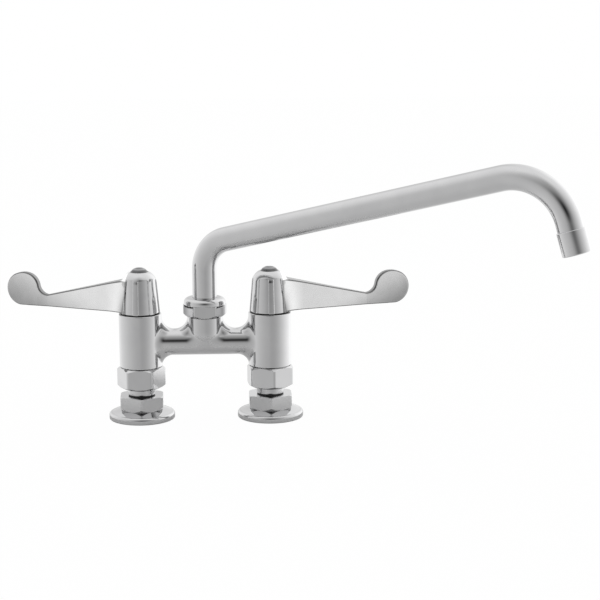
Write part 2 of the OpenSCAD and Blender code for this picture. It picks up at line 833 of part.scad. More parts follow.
// Plan of the blade: straight faces thin out to the notch, and a flare joins them to the hub
module blade_plan() {
    taper = atan2((blade_root_t - paddle_t) / 2, notch_u);
    face_v = blade_root_t / 2 - flare_u * tan(taper);
    face_d = blade_root_t / 2 * cos(taper);
    hub_r = (hub_foot_d + hub_top_d) / 4;
    flare_r = (flare_u * flare_u + face_v * face_v - hub_r * hub_r) / (2 * (hub_r - face_d));
    flare_c = [flare_u + flare_r * sin(taper), face_v + flare_r * cos(taper)];
    start_u = flare_c[0] * hub_r / norm(flare_c);
    polygon([[0, -blade_root_t / 2], [notch_u, -paddle_t / 2], [handle_reach, -paddle_t / 2],
        [handle_reach, paddle_t / 2], [notch_u, paddle_t / 2], [0, blade_root_t / 2]]);
    difference() {
        translate([start_u, -hub_r])
            square([flare_u - start_u, 2 * hub_r]);
        for (face = [-1, 1])
            translate([flare_c[0], face * flare_c[1]])
                circle(r = flare_r, $fn = 360);
    }
}

module blade() {
    intersection() {
        translate([0, hub_foot_d, 0])
            rotate([90, 0, 0])
                linear_extrude(height = 2 * hub_foot_d)
                    blade_outline();
        translate([0, 0, hub_z - paddle_r])
            linear_extrude(height = hub_h + 2 * paddle_r)
                blade_plan();
    }
    paddle();
}

module handle(side, turn) {
    socket = stem_square / 2 + seat_gap;
    color("silver")
        on_leg(side, turn)
            difference() {
                union() {
                    difference() {
                        rotate_extrude()
                            hub_outline();
                        hub_panels();
                    }
                    blade();
                }
                hole(hub_hollow_d / 2, hub_z - lap, square_z);
                translate([-socket, -socket, square_z - lap])
                    cube([2 * socket, 2 * socket, web_z - square_z + lap]);
                hole(screw_d / 2 + screw_gap, web_z - lap, hub_top);
                hole(button_r - button_ledge_w, recess_z, hub_top + lap);
                hole(button_r + seat_gap, ledge_z, hub_top + lap);
            }
}

module handle_screw(side) {
    slot_z = recess_z + screw_head_h - screw_slot_h;
    color("gray")
        on_leg(side)
            difference() {
                union() {
                    hole(screw_d / 2, stem_top - screw_grip_h, recess_z + lap);
                    translate([0, 0, recess_z])
                        rotate_extrude()
                            soft_disc(screw_head_d / 2, screw_head_h, screw_head_edge_r);
                }
                for (slot_turn = [0, 90])
                    rotate([0, 0, slot_turn])
                        translate([-screw_slot_l / 2, -screw_slot_w / 2, slot_z])
                            cube([screw_slot_l, screw_slot_w, screw_slot_h + lap]);
            }
}

// Seal that lies on the tower and keeps dirt out of the cartridge
module dust_seal(side) {
    color("dimgray")
        on_leg(side)
            ring(dust_seal_d / 2, dust_seal_bore_d / 2, tower_top, tower_top + dust_seal_h);
}

module index_button(side) {
    color("dimgray")
        on_leg(side)
            translate([0, 0, ledge_z])
                rotate_extrude() {
                    square([button_r, button_rim_h]);
                    translate([0, button_rim_h])
                        cap_outline(button_r, button_flat_d / 2, button_dome_h);
                }
}

// Spout

// Puts a piece in the spout's vertical plane
module on_spout() {
    rotate([0, 0, -spout_rest_angle])
        children();
}

// Puts a piece on the outlet's axis, with Z back up the tube from the outlet
module on_outlet() {
    on_spout()
        translate([spout_reach, 0, outlet_z])
            rotate([0, tip_angle - 90, 0])
                children();
}

// Bent stretch of the spout tube, drawn in a hair thinner so that it laps into its straight neighbours
module tube_bend(x, z, bend_r, from, sweep) {
    lap = bend_lap / bend_r * 180 / PI;
    translate([x, 0, z])
        rotate([90, 0, 0])
            rotate([0, 0, from - lap])
                rotate_extrude(angle = sweep + 2 * lap)
                    translate([bend_r, 0])
                        difference() {
                            circle(r = tube_r - bend_step);
                            circle(r = tube_bore_r + bend_step);
                        }
}

module spout_tube() {
    color("silver")
        on_spout() {
            ring(tube_r, tube_bore_r, tube_z, riser_top);
            tube_bend(low_bend_r, riser_top, low_bend_r, 180 - low_turn, low_turn);
            translate([low_tangent * cos(arm_angle), 0, corner_z + low_tangent * sin(arm_angle)])
                rotate([0, 90 - arm_angle, 0])
                    ring(tube_r, tube_bore_r, 0, arm_len);
            tube_bend(high_corner_s - high_tangent * cos(arm_angle) + high_bend_r * sin(arm_angle),
                high_corner_z - high_tangent * sin(arm_angle) - high_bend_r * cos(arm_angle),
                high_bend_r, 90 - tip_angle, high_turn);
            translate([spout_reach, 0, outlet_z])
                rotate([0, tip_angle - 90, 0])
                    ring(tube_r, tube_bore_r, tube_end, tip_len);
        }
}

// Heights of the two O-rings on the shank
function shank_ring_z(i) = shank_z + shank_ring_lead + shank_ring_pitch * i;

module spout_shank() {
    color("goldenrod")
        difference() {
            union() {
                hole(shank_d / 2, shank_z, shoulder_z + lap);
                hole(shoulder_d / 2, shoulder_z, tube_z);
                hole(tube_bore_r - seat_gap, tube_z - lap, tube_z + shank_spigot_h);
            }
            hole(shank_bore_d / 2, shank_z - lap, tube_z + shank_spigot_h + lap);
            for (i = [0, 1])
                ring(shank_d / 2 + lap, shank_d / 2 - spout_ring_t,
                    shank_ring_z(i) - spout_ring_t / 2 - slip_gap,
                    shank_ring_z(i) + spout_ring_t / 2 + slip_gap);
        }
}

module spout_o_rings() {
    color("dimgray")
        for (i = [0, 1])
            translate([0, 0, shank_ring_z(i)])
                rotate_extrude()
                    translate([shank_d / 2 - spout_ring_t / 2, 0])
                        circle(d = spout_ring_t, $fn = 32);
}

module thrust_washer() {
    color("white")
        ring(shoulder_d / 2, tube_r + seat_gap, tube_z, tube_z + thrust_washer_h);
}

module aerator_housing() {
    color("silver")
        on_outlet()
            difference() {
                rotate_extrude()
                    polygon([[0, 0], [aerator_r - fine_edge, 0], [aerator_r, fine_edge],
                        [aerator_r, aerator_h - fine_edge], [aerator_r - fine_edge, aerator_h],
                        [0, aerator_h]]);
                hole(tube_r + seat_gap, aerator_lip_h, aerator_h + lap);
                hole(tube_r - aerator_lip_w, -lap, aerator_h);
            }
}

module aerator_insert() {
    outer_r = tube_r - disc_gap;
    color("white")
        on_outlet()
            difference() {
                hole(outer_r, insert_z, insert_z + insert_h);
                hole(outer_r - insert_wall, insert_z + insert_floor_h, insert_z + insert_h + lap);
                for (k = [0 : 3])
                    for (i = [0 : max(0, 6 * k - 1)])
                        rotate([0, 0, k == 0 ? 0 : i * 60 / k])
                            translate([k * insert_ring_step, 0, 0])
                                hole(insert_hole_d / 2, insert_z - lap, insert_z + insert_floor_h + lap);
            }
}

module aerator_washer() {
    color("dimgray")
        on_outlet()
            ring(tube_r - disc_gap, tube_bore_r - aerator_washer_over, aerator_washer_z, tube_end);
}

body_casting();
swivel_nut();
inlet_flange(hot);  // hot_inlet_flange
tail_seal(hot);  // hot_tail_seal
tailpiece(hot);  // hot_tailpiece
coupling_nut(hot, hot_coupling_turn);  // hot_coupling_nut
inlet_washer(hot);  // hot_inlet_washer
inlet_flange(cold);  // cold_inlet_flange
tail_seal(cold);  // cold_tail_seal
tailpiece(cold);  // cold_tailpiece
coupling_nut(cold, cold_coupling_turn);  // cold_coupling_nut
inlet_washer(cold);  // cold_inlet_washer
seat_seal(hot);  // hot_seat_seal
fixed_disc(hot);  // hot_fixed_disc
cartridge_body(hot);  // hot_cartridge_body
cartridge_gasket(hot);  // hot_cartridge_gasket
seat_seal(cold);  // cold_seat_seal
fixed_disc(cold);  // cold_fixed_disc
cartridge_body(cold);  // cold_cartridge_body
cartridge_gasket(cold);  // cold_cartridge_gasket
moving_disc(hot);  // hot_moving_disc
dust_seal(hot);  // hot_dust_seal
stem(hot, hot_blade_turn);  // hot_stem
stem_o_rings(hot);  // hot_stem_o_rings
stem_clip(hot, hot_blade_turn);  // hot_stem_clip
handle(hot, hot_blade_turn);  // hot_handle
handle_screw(hot);  // hot_handle_screw
index_button(hot);  // hot_index_button
moving_disc(cold);  // cold_moving_disc
dust_seal(cold);  // cold_dust_seal
stem(cold, cold_blade_turn);  // cold_stem
stem_o_rings(cold);  // cold_stem_o_rings
stem_clip(cold, cold_blade_turn);  // cold_stem_clip
handle(cold, cold_blade_turn);  // cold_handle
handle_screw(cold);  // cold_handle_screw
index_button(cold);  // cold_index_button
spout_tube();
spout_shank();
spout_o_rings();
thrust_washer();
aerator_housing();
aerator_insert();
aerator_washer();
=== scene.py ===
import json
import math

import bmesh
import bpy
import numpy as np
from mathutils import Matrix, Vector


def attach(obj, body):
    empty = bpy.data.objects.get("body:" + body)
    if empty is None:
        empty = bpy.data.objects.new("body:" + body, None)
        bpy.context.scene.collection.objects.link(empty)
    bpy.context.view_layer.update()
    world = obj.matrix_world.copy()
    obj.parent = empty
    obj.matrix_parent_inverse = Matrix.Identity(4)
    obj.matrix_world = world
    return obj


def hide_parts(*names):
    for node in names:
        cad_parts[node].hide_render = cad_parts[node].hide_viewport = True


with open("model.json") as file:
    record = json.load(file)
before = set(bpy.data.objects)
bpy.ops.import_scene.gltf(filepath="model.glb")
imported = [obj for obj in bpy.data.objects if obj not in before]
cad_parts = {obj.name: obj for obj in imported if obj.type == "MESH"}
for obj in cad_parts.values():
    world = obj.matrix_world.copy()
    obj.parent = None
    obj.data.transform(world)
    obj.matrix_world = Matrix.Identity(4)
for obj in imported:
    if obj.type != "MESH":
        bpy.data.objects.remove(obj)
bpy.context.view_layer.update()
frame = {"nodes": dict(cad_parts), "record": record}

MM = 0.001
SIDES = {"hot": -1, "cold": 1}
INLET_X = 50.8

# Heights above the deck, in millimetres
FLANGE_RIM = 5.5
FLANGE_TOP = 7.9
BASE_HEX_LOW = 8.3
BASE_HEX_TOP = 18.7
TAIL_LOW = 19.55
COUPLING_LOW = 24.5
TOWER_FOOT = 41.7
BRIDGE_Z = 61.2
BOSS_END_Z = 70.8
BOSS_TOP = 81.75
TOWER_TOP = 84.3
HUB_LOW = 85.1
NUT_SHOULDER = 91.25
NUT_TOP = 96.55
HUB_TOP = 117.0

# Turn of each part about its own upright axis, in degrees
HANDLE_TURN = {"hot": 155.5, "cold": 18.0}
COUPLING_TURN = {"hot": 57.8, "cold": 38.9}
BASE_TURN = 31.0
SWIVEL_TURN = 61.0
SPOUT_TURN = -30.5

# Where the satin and the painted shade start along each blade, in millimetres
SATIN_START = {"hot": 6.2, "cold": 7.4}
PAINTED_SHADE_START = {"hot": 37.0, "cold": 66.0}


# Camera fitted to the photograph: angles in degrees, distance and aim in millimetres
CAMERA_TURN = -2.24
CAMERA_RISE = 11.22
CAMERA_ROLL = -0.31
CAMERA_FAR = 1413.81
CAMERA_AIM = (74.76, 0, 93.23)
FOCAL_PIXELS = 1799.32
PHOTO_PIXELS = 600
SENSOR = 36


def make_camera():
    azimuth = math.radians(CAMERA_TURN)
    elevation = math.radians(CAMERA_RISE)
    roll = math.radians(CAMERA_ROLL)
    back = Vector((math.sin(azimuth) * math.cos(elevation),
                   -math.cos(azimuth) * math.cos(elevation), math.sin(elevation)))
    place = Vector(CAMERA_AIM) + back * CAMERA_FAR
    right = (-back).cross(Vector((0, 0, 1))).normalized()
    up = right.cross(-back)
    x_axis = right * math.cos(roll) + up * math.sin(roll)
    y_axis = up * math.cos(roll) - right * math.sin(roll)
    data = bpy.data.cameras.new("camera")
    data.sensor_width = SENSOR
    data.lens = FOCAL_PIXELS / PHOTO_PIXELS * SENSOR
    data.clip_start = 0.01
    data.clip_end = 20
    camera = bpy.data.objects.new("camera", data)
    turn = Matrix((x_axis, y_axis, back)).transposed()
    camera.matrix_world = Matrix.Translation(place * MM) @ turn.to_4x4()
    bpy.context.scene.collection.objects.link(camera)
    bpy.context.scene.camera = camera


# Solids as signed distances in millimetres

def ease(value, low, high):
    share = np.clip((value - low) / (high - low), 0, 1)
    return share * share * (3 - 2 * share)


# Both solids, with a rounded edge where their faces cross
def both(first, second, radius):
    outer = np.hypot(np.maximum(first + radius, 0), np.maximum(second + radius, 0))
    return np.minimum(-radius, np.maximum(first, second)) + outer


# Either solid, with a fillet where they meet
def either(first, second, radius):
    inner = np.hypot(np.maximum(radius - first, 0), np.maximum(radius - second, 0))
    return np.maximum(radius, np.minimum(first, second)) - inner


def rod(x, y, z, radius, low, high, edge=0.3):
    return both(both(np.hypot(x, y) - radius, z - high, edge), low - z, edge)


# Casting sizes in millimetres; a pair of fillets is the smaller and the larger one, and a spread or
# shrink gives the heights between which the larger one comes or goes
BRIDGE_R = 10.4
WEB_R = 8.0
TOWER_R = 16.7
BOSS_R = 13.8
SADDLE_X = 23.95
SADDLE_RING = 18.15
UNDER_X = 25.1
UNDER_RING = 17.0
WEB_FILLET = 6
TOWER_FILLETS = (4.5, 8.0)
TOWER_SPREAD = (48, 54)
TOWER_SHRINK = (68, 76)
BOSS_FILLETS = (4, 13)
BOSS_SHRINK = (58, 72)
BORE_END = 91
VALVE_END = 86
BOSS_THREAD_R = 12.3
BOSS_THREAD_TOP = 89.45
SPIGOT_R = 15.0
SPIGOT_LOW = 32.9
WATER_R = 7.5
VALVE_FLOOR = 53.3
CARTRIDGE_R = 11.05
COLLAR_FLOOR = 81.5
COLLAR_R = 12.55
CROSS_BORE_R = 6
OUTLET_BORE_R = 5.5
SHANK_FLOOR = 64.9
SHANK_R = 9.55


# A form is a signed distance with the direction in which it grows
def bar_arc(x, y, z, centre_x, centre_z, ring):
    out_x, out_z = x - centre_x, z - centre_z
    far = np.maximum(np.hypot(out_x, out_z), 0.01)
    off = far - ring
    length = np.maximum(np.hypot(off, y), 0.01)
    share = off / far / length
    return length - WEB_R, (out_x * share, y / length, out_z * share)


# Either form, with a round fillet that touches both, at whatever angle they meet
def blend(first, second, radius):
    angle = np.clip(sum(one * other for one, other in zip(first[1], second[1])), -0.95, 0.999)
    left = np.maximum(radius - first[0], 0)
    right = np.maximum(radius - second[0], 0)
    one = left - angle * right
    two = right - angle * left
    within = (one > 0) & (two > 0) & (left > 0) & (right > 0)
    wide = 1 - angle * angle
    span = np.sqrt(np.maximum(left * left + right * right - 2 * angle * left * right, 1e-9) / wide)
    share_one = np.where(within, one / (wide * span), first[0] < second[0])
    share_two = np.where(within, two / (wide * span), first[0] >= second[0])
    ways = tuple(share_one * way + share_two * other for way, other in zip(first[1], second[1]))
    return np.where(within, radius - span, np.minimum(first[0], second[0])), ways


def cut_form(form, *planes):
    distance = form[0]
    for plane in planes:
        distance = np.maximum(distance, plane)
    return distance, form[1]


# Towers, bridge, saddles and boss run into each other in one cast skin
def casting(x, y, z):
    across = np.abs(x)
    flat = np.zeros_like(x)
    length = np.maximum(np.hypot(y, z - BRIDGE_Z), 0.01)
    bridge = (np.maximum(length - BRIDGE_R, across - INLET_X),
              (flat, y / length, (z - BRIDGE_Z) / length))
    saddle = cut_form(bar_arc(across, y, z, SADDLE_X, BOSS_TOP, SADDLE_RING), z - BOSS_TOP + 0.3)
    under = cut_form(bar_arc(across, y, z, UNDER_X, TOWER_FOOT + 0.1, UNDER_RING), UNDER_X - across,
                     TOWER_FOOT + 0.1 - z)
    web = blend(blend(bridge, saddle, WEB_FILLET), under, WEB_FILLET)
    out = np.maximum(np.hypot(across - INLET_X, y), 0.01)
    tower = (rod(across - INLET_X, y, z, TOWER_R, TOWER_FOOT + 0.4, TOWER_TOP, 0.6),
             ((across - INLET_X) / out, y / out, flat))
    low, high = TOWER_FILLETS
    skin = blend(web, tower, low + (high - low) * ease(z, *TOWER_SPREAD) * (1 - ease(z, *TOWER_SHRINK)))
    rise = np.minimum(z - BOSS_END_Z, 0)
    length = np.maximum(np.sqrt(x * x + y * y + rise * rise), 0.01)
    boss = (both(length - BOSS_R, z - BOSS_TOP, 0.3), (across / length, y / length, rise / length))
    low, high = BOSS_FILLETS
    skin = blend(skin, boss, low + (high - low) * (1 - ease(z, *BOSS_SHRINK)))[0]
    skin = np.minimum(skin, rod(x, y, z, BOSS_THREAD_R, BOSS_TOP - 1, BOSS_THREAD_TOP))
    beside = across - INLET_X
    skin = np.minimum(skin, rod(beside, y, z, SPIGOT_R, SPIGOT_LOW, TOWER_FOOT + 1))
    bores = np.minimum(rod(beside, y, z, WATER_R, 31, VALVE_FLOOR + 0.7),
                       rod(beside, y, z, CARTRIDGE_R, VALVE_FLOOR, VALVE_END))
    bores = np.minimum(bores, rod(beside, y, z, COLLAR_R, COLLAR_FLOOR, VALVE_END))
    bores = np.minimum(bores, np.maximum(np.hypot(y, z - BRIDGE_Z) - CROSS_BORE_R, beside))
    bores = np.minimum(bores, rod(x, y, z, OUTLET_BORE_R, BRIDGE_Z, BORE_END))
    bores = np.minimum(bores, rod(x, y, z, SHANK_R, SHANK_FLOOR, BORE_END))
    return both(skin, -bores, 0.2)


# Lever sizes: U and W are places along the blade and above the hub's foot
HUB_FOOT_R = 15.8
HUB_TOP_R = 13.4
HUB_H = 31.9
TAPER_H = 27.3
TOP_R = 7.2
TOP_RISE = 0.5
TOP_LEAN = math.radians(24)
PANEL_STEP = math.radians(51.0)
PANEL_HALF = math.radians(17.0)
PANEL_TOP = 27.5
PANEL_DEPTH = 0.8
CORE_U = -9
PADDLE_U = 105.2
PADDLE_W = 12.0
PADDLE_R = 13.2
KNOB_U = 101.0
KNOB_W = 14.0
KNOB_R = 11.5
NOTCH_U = 81.5
NOTCH_W = 8.8
HOLLOW_R = 8.5
ROOT_U = 12.0
ROOT_W = 25.9
FOOT_W = 0.3
BLADE_T = 5.4
ROOT_T = 18.6
FLARE_U = 26.0
BLADE_EDGE_R = 1.5
ROOT_FILLETS = (0.05, 1.05)
ROOT_SPREAD = (20, 24)
SKIRT_BORE_R = 11.2
SKIRT_DEPTH = 13.45
SQUARE_HALF = 3.15
SQUARE_MIDDLE = 17
SQUARE_REACH = 6.35
SCREW_R = 2.45
SCREW_HEAD_R = 5.5
SCREW_SEAT_W = 25.85
BUTTON_BORE_R = 7.05
BUTTON_SEAT_W = 29.1
NOWHERE = 99


def hub_radius(w):
    return HUB_FOOT_R - (HUB_FOOT_R - HUB_TOP_R) * w / TAPER_H


# Tapered hub whose top is a low cone rounded into the side, with five shallow panels
def hub(u, v, w):
    out = np.hypot(u, v)
    side = (out - hub_radius(w)) * 0.996
    top = (w - HUB_H - TOP_RISE) * math.cos(TOP_LEAN) + (out - TOP_R) * math.sin(TOP_LEAN)
    solid = both(both(side, top, 5.0), -w, 0.5)
    turn = np.abs(np.arctan2(v, -u))
    turn = np.abs(turn - PANEL_STEP * np.minimum(np.round(turn / PANEL_STEP), 2))
    edge = out * (turn - PANEL_HALF)
    panel = both(both(edge, w - PANEL_TOP, 1.2), -(side + PANEL_DEPTH), 0.4)
    return both(solid, -panel, 0.4)


# Distance from the line between two points in the side view
def to_line(u, w, start, end):
    along_u = end[0] - start[0]
    along_w = end[1] - start[1]
    share = ((u - start[0]) * along_u + (w - start[1]) * along_w) / (along_u ** 2 + along_w ** 2)
    share = np.clip(share, 0, 1)
    return np.hypot(u - start[0] - share * along_u, w - start[1] - share * along_w)


# Centre of the hollow that starts at the notch and touches the upper paddle circle
def hollow_centre():
    span = math.hypot(KNOB_U - NOTCH_U, KNOB_W - NOTCH_W)
    far = KNOB_R + HOLLOW_R
    lean = math.acos((HOLLOW_R ** 2 + span ** 2 - far ** 2) / (2 * HOLLOW_R * span))
    aim = lean + math.atan2(KNOB_W - NOTCH_W, KNOB_U - NOTCH_U)
    return NOTCH_U + HOLLOW_R * math.cos(aim), NOTCH_W + HOLLOW_R * math.sin(aim)


HOLLOW_U, HOLLOW_W = hollow_centre()


# Side view of the blade: long wedge, hollow notch and round paddle
def blade_side(u, w):
    aim = math.atan2(KNOB_W - HOLLOW_W, KNOB_U - HOLLOW_U)
    touch = (HOLLOW_U + HOLLOW_R * math.cos(aim), HOLLOW_W + HOLLOW_R * math.sin(aim))
    span = math.hypot(PADDLE_U - ROOT_U, PADDLE_W - FOOT_W)
    rise = math.atan2(PADDLE_W - FOOT_W, PADDLE_U - ROOT_U) - math.asin(PADDLE_R / span)
    heel = (PADDLE_U + PADDLE_R * math.sin(rise), PADDLE_W - PADDLE_R * math.cos(rise))
    paddle = np.hypot(u - PADDLE_U, w - PADDLE_W) - PADDLE_R
    paddle = either(paddle, np.hypot(u - KNOB_U, w - KNOB_W) - KNOB_R, 2.0)
    gap = np.minimum(to_line(u, w, (CORE_U, FOOT_W), (ROOT_U, FOOT_W)),
                     to_line(u, w, (ROOT_U, FOOT_W), heel))
    slant = (ROOT_W - NOTCH_W) / (ROOT_U - NOTCH_U)
    core = (CORE_U, ROOT_W + slant * (CORE_U - ROOT_U))
    gap = np.minimum(gap, to_line(u, w, core, (NOTCH_U, NOTCH_W)))
    hollow = np.abs(np.hypot(u - HOLLOW_U, w - HOLLOW_W) - HOLLOW_R)
    hollow = np.where((u > NOTCH_U) & (u < touch[0]) & (w < HOLLOW_W), hollow, NOWHERE)
    gap = np.minimum(gap, hollow)
    low = np.where(u < ROOT_U, FOOT_W, FOOT_W + (u - ROOT_U) * math.tan(rise))
    below = np.maximum(HOLLOW_R ** 2 - (u - HOLLOW_U) ** 2, 0)
    high = np.where(u < NOTCH_U, ROOT_W + slant * (u - ROOT_U), HOLLOW_W - np.sqrt(below))
    high = np.where(u > touch[0], KNOB_W, high)
    inside = (w > low) & (w < high) & (u < PADDLE_U)
    wedge = np.where(inside, -gap, gap)
    body = np.minimum(wedge, paddle)
    return np.where(inside & (paddle < 0), np.minimum(-gap, paddle), body)


# Plan of the blade: it thins out to the notch, and flares into the hub at its root
def blade_plan(u, v, w):
    off = np.abs(v)
    taper = math.atan2((ROOT_T - BLADE_T) / 2, NOTCH_U)
    straight = (off - ROOT_T / 2 + u * math.tan(taper)) * math.cos(taper)
    straight = np.where(u < NOTCH_U, straight, off - BLADE_T / 2)
    face_v = ROOT_T / 2 - FLARE_U * math.tan(taper)
    face_d = ROOT_T / 2 * math.cos(taper)
    hub_r = hub_radius(np.clip(w, 0, 26)) - 0.05
    flare_r = (FLARE_U ** 2 + face_v ** 2 - hub_r ** 2) / (2 * (hub_r - face_d))
    centre_u = FLARE_U + flare_r * math.sin(taper)
    centre_v = face_v + flare_r * math.cos(taper)
    start_u = centre_u * hub_r / np.hypot(centre_u, centre_v)
    flare = flare_r - np.hypot(u - centre_u, off - centre_v)
    flare = np.where((u > start_u) & (u < FLARE_U), flare, NOWHERE)
    return np.minimum(straight, flare)


# Lever handle in its own frame: u along the blade, v across it, w above the hub's foot
def lever(u, v, w):
    blade = both(blade_side(u, w), blade_plan(u, v, w), BLADE_EDGE_R)
    blade = np.maximum(blade, -u)
    low, high = ROOT_FILLETS
    solid = either(hub(u, v, w), blade, low + (high - low) * ease(w, *ROOT_SPREAD))
    holes = rod(u, v, w, SKIRT_BORE_R, -2, SKIRT_DEPTH)
    square = both(np.abs(u) - SQUARE_HALF, np.abs(v) - SQUARE_HALF, 0.2)
    holes = np.minimum(holes, both(square, np.abs(w - SQUARE_MIDDLE) - SQUARE_REACH, 0.2))
    for radius, floor in ((SCREW_R, 22), (SCREW_HEAD_R, SCREW_SEAT_W), (BUTTON_BORE_R, BUTTON_SEAT_W)):
        holes = np.minimum(holes, rod(u, v, w, radius, floor, 33))
    return both(solid, -holes, 0.35)


# Steps for the slope of a solid, the pulls that draw points onto it, and the longest pull in cells
FINE_STEP = 0.02
NORMAL_STEP = 0.12
PULLS = 4
LONGEST_PULL = 0.35


def slope(shape, points, step):
    parts = []
    for axis in range(3):
        ahead = points.copy()
        behind = points.copy()
        ahead[:, axis] += step
        behind[:, axis] -= step
        parts.append((shape(*ahead.T) - shape(*behind.T)) / (2 * step))
    return np.stack(parts, 1)


# Corner points where a solid's surface crosses the cells of a grid
def crossing_points(value, cells):
    sums = np.zeros((len(cells), 3))
    hits = np.zeros(len(cells))
    for axis in range(3):
        for first in (0, 1):
            for second in (0, 1):
                start = cells.copy()
                start[:, (axis + 1) % 3] += first
                start[:, (axis + 2) % 3] += second
                end = start.copy()
                end[:, axis] += 1
                here = value[tuple(start.T)]
                there = value[tuple(end.T)]
                cross = (here < 0) != (there < 0)
                spot = start.astype(float)
                with np.errstate(divide="ignore", invalid="ignore"):
                    spot[:, axis] += here / (here - there)
                sums[cross] += spot[cross]
                hits[cross] += 1
    return sums / hits[:, None]


# Surface of a signed distance, as quads drawn onto it with its own normals
def skin_of(shape, low, high, cell):
    low = np.array(low, dtype=float)
    counts = [int(math.ceil((top - start) / cell)) + 1 for start, top in zip(low, high)]
    axes = [low[axis] + cell * np.arange(counts[axis]) for axis in range(3)]
    value = shape(*np.meshgrid(*axes, indexing="ij"))
    inside = value < 0
    corners = np.zeros([count - 1 for count in counts], dtype=int)
    for i in (0, 1):
        for j in (0, 1):
            for k in (0, 1):
                corners += inside[i:i + counts[0] - 1, j:j + counts[1] - 1, k:k + counts[2] - 1]
    mixed = (corners > 0) & (corners < 8)
    cells = np.argwhere(mixed)
    place = np.full(mixed.shape, -1)
    place[mixed] = np.arange(len(cells))
    points = low + cell * crossing_points(value, cells)
    for _ in range(PULLS):
        fall = slope(shape, points, FINE_STEP)
        steep = np.maximum((fall * fall).sum(1), 0.1)
        move = (shape(*points.T) / steep)[:, None] * fall
        length = np.maximum(np.sqrt((move * move).sum(1)), 1e-9)
        points -= move * np.minimum(1, LONGEST_PULL * cell / length)[:, None]
    quads = []
    for axis in range(3):
        one, two = (axis + 1) % 3, (axis + 2) % 3
        inner = [slice(None)] * 3
        inner[one] = slice(1, counts[one] - 1)
        inner[two] = slice(1, counts[two] - 1)
        inner[axis] = slice(0, counts[axis] - 1)
        lower = inside[tuple(inner)]
        inner[axis] = slice(1, counts[axis])
        upper = inside[tuple(inner)]
        edges = np.argwhere(lower != upper)
        outward = lower[tuple(edges.T)]
        edges[:, one] += 1
        edges[:, two] += 1
        shift_one = np.zeros(3, dtype=int)
        shift_two = np.zeros(3, dtype=int)
        shift_one[one] = 1
        shift_two[two] = 1
        ring = [edges, edges - shift_one, edges - shift_one - shift_two, edges - shift_two]
        quad = np.stack([place[tuple(spot.T)] for spot in ring], 1)
        quad[~outward] = quad[~outward][:, ::-1]
        quads.append(quad)
    normals = slope(shape, points, NORMAL_STEP)
    normals /= np.linalg.norm(normals, axis=1)[:, None]
    return points, np.concatenate(quads), normals


# Rows of points turned about the upright axis, then moved
def turned(points, degrees, shift=(0, 0, 0)):
    angle = math.radians(degrees)
    table = np.array([[math.cos(angle), math.sin(angle), 0],
                      [-math.sin(angle), math.cos(angle), 0], [0, 0, 1]])
    return points @ table + np.array(shift, dtype=float)


# Piece made from the skin of a signed distance, shaded by the solid's own normals
def skin_piece(name, points, faces, normals, material, body, replaced):
    mesh = bpy.data.meshes.new(name)
    mesh.from_pydata((points * MM).tolist(), [], faces.tolist())
    mesh.validate()
    mesh.shade_smooth()
    mesh.normals_split_custom_set_from_vertices(normals.tolist())
    mesh.materials.append(material)
    piece = bpy.data.objects.new(name, mesh)
    bpy.context.scene.collection.objects.link(piece)
    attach(piece, body)
    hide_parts(*replaced)


def make_casting(material):
    points, faces, normals = skin_of(casting, (-69, -18, 32), (69, 18, 91), 0.8)
    skin_piece("cast_body", points, faces, normals, material, "body", ["body_casting"])


# Closed ring of edges through points
def ring_of(work, points):
    corners = [work.verts.new(np.asarray(point) * MM) for point in points]
    return corners, [work.edges.new(pair) for pair in zip(corners, corners[1:] + corners[:1])]


# Rows of points up the outside and down the inside, bridged into a closed solid
def bridge_shell(work, rows):
    rings = [ring_of(work, row)[1] for row in rows]
    for low, high in zip(rings, rings[1:] + rings[:1]):
        bmesh.ops.bridge_loops(work, edges=low + high)


# Section of radius and height, closed on itself, spun round the upright axis
SPIN_STEPS = 120
FLAT_COLUMNS = 13
ROUND_COLUMNS = 9
MERGE_GAP = 2e-7
BEVEL_FROM = math.radians(14)
SHARP_FROM = math.radians(40)


# Section of (radius, height) pairs, spun about the upright axis
def spin_shell(work, section):
    corners, edges = ring_of(work, [(out, 0, z) for out, z in section])
    bmesh.ops.spin(work, geom=corners + edges, cent=(0, 0, 0), axis=(0, 0, 1), angle=2 * math.pi,
                   steps=SPIN_STEPS, use_merge=True)


# Points of a round edge in a section, from one angle to another
def arc(centre_r, centre_z, radius, start, end, count):
    turns = np.radians(np.linspace(start, end, count))
    return [(centre_r + radius * math.cos(turn), centre_z + radius * math.sin(turn)) for turn in turns]


# Moves a finished bmesh into place and makes a piece of it, with its edges eased by the bevel
def mesh_piece(name, work, place, material, body, replaced, bevel=0.0):
    bmesh.ops.remove_doubles(work, verts=work.verts, dist=MERGE_GAP)
    bmesh.ops.recalc_face_normals(work, faces=work.faces)
    placed = place(np.array([vert.co for vert in work.verts]) / MM) * MM
    for vert, point in zip(work.verts, placed):
        vert.co = point
    mesh = bpy.data.meshes.new(name)
    work.to_mesh(mesh)
    work.free()
    mesh.shade_smooth()
    mesh.materials.append(material)
    piece = bpy.data.objects.new(name, mesh)
    bpy.context.scene.collection.objects.link(piece)
    if bevel:
        edge = piece.modifiers.new("edges", "BEVEL")
        edge.limit_method = "ANGLE"
        edge.angle_limit = BEVEL_FROM
        edge.width = bevel * MM
        edge.segments = 3
    else:
        mesh.set_sharp_from_angle(angle=SHARP_FROM)
    weigh = piece.modifiers.new("normals", "WEIGHTED_NORMAL")
    weigh.keep_sharp = True
    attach(piece, body)
    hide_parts(*replaced)
    return piece


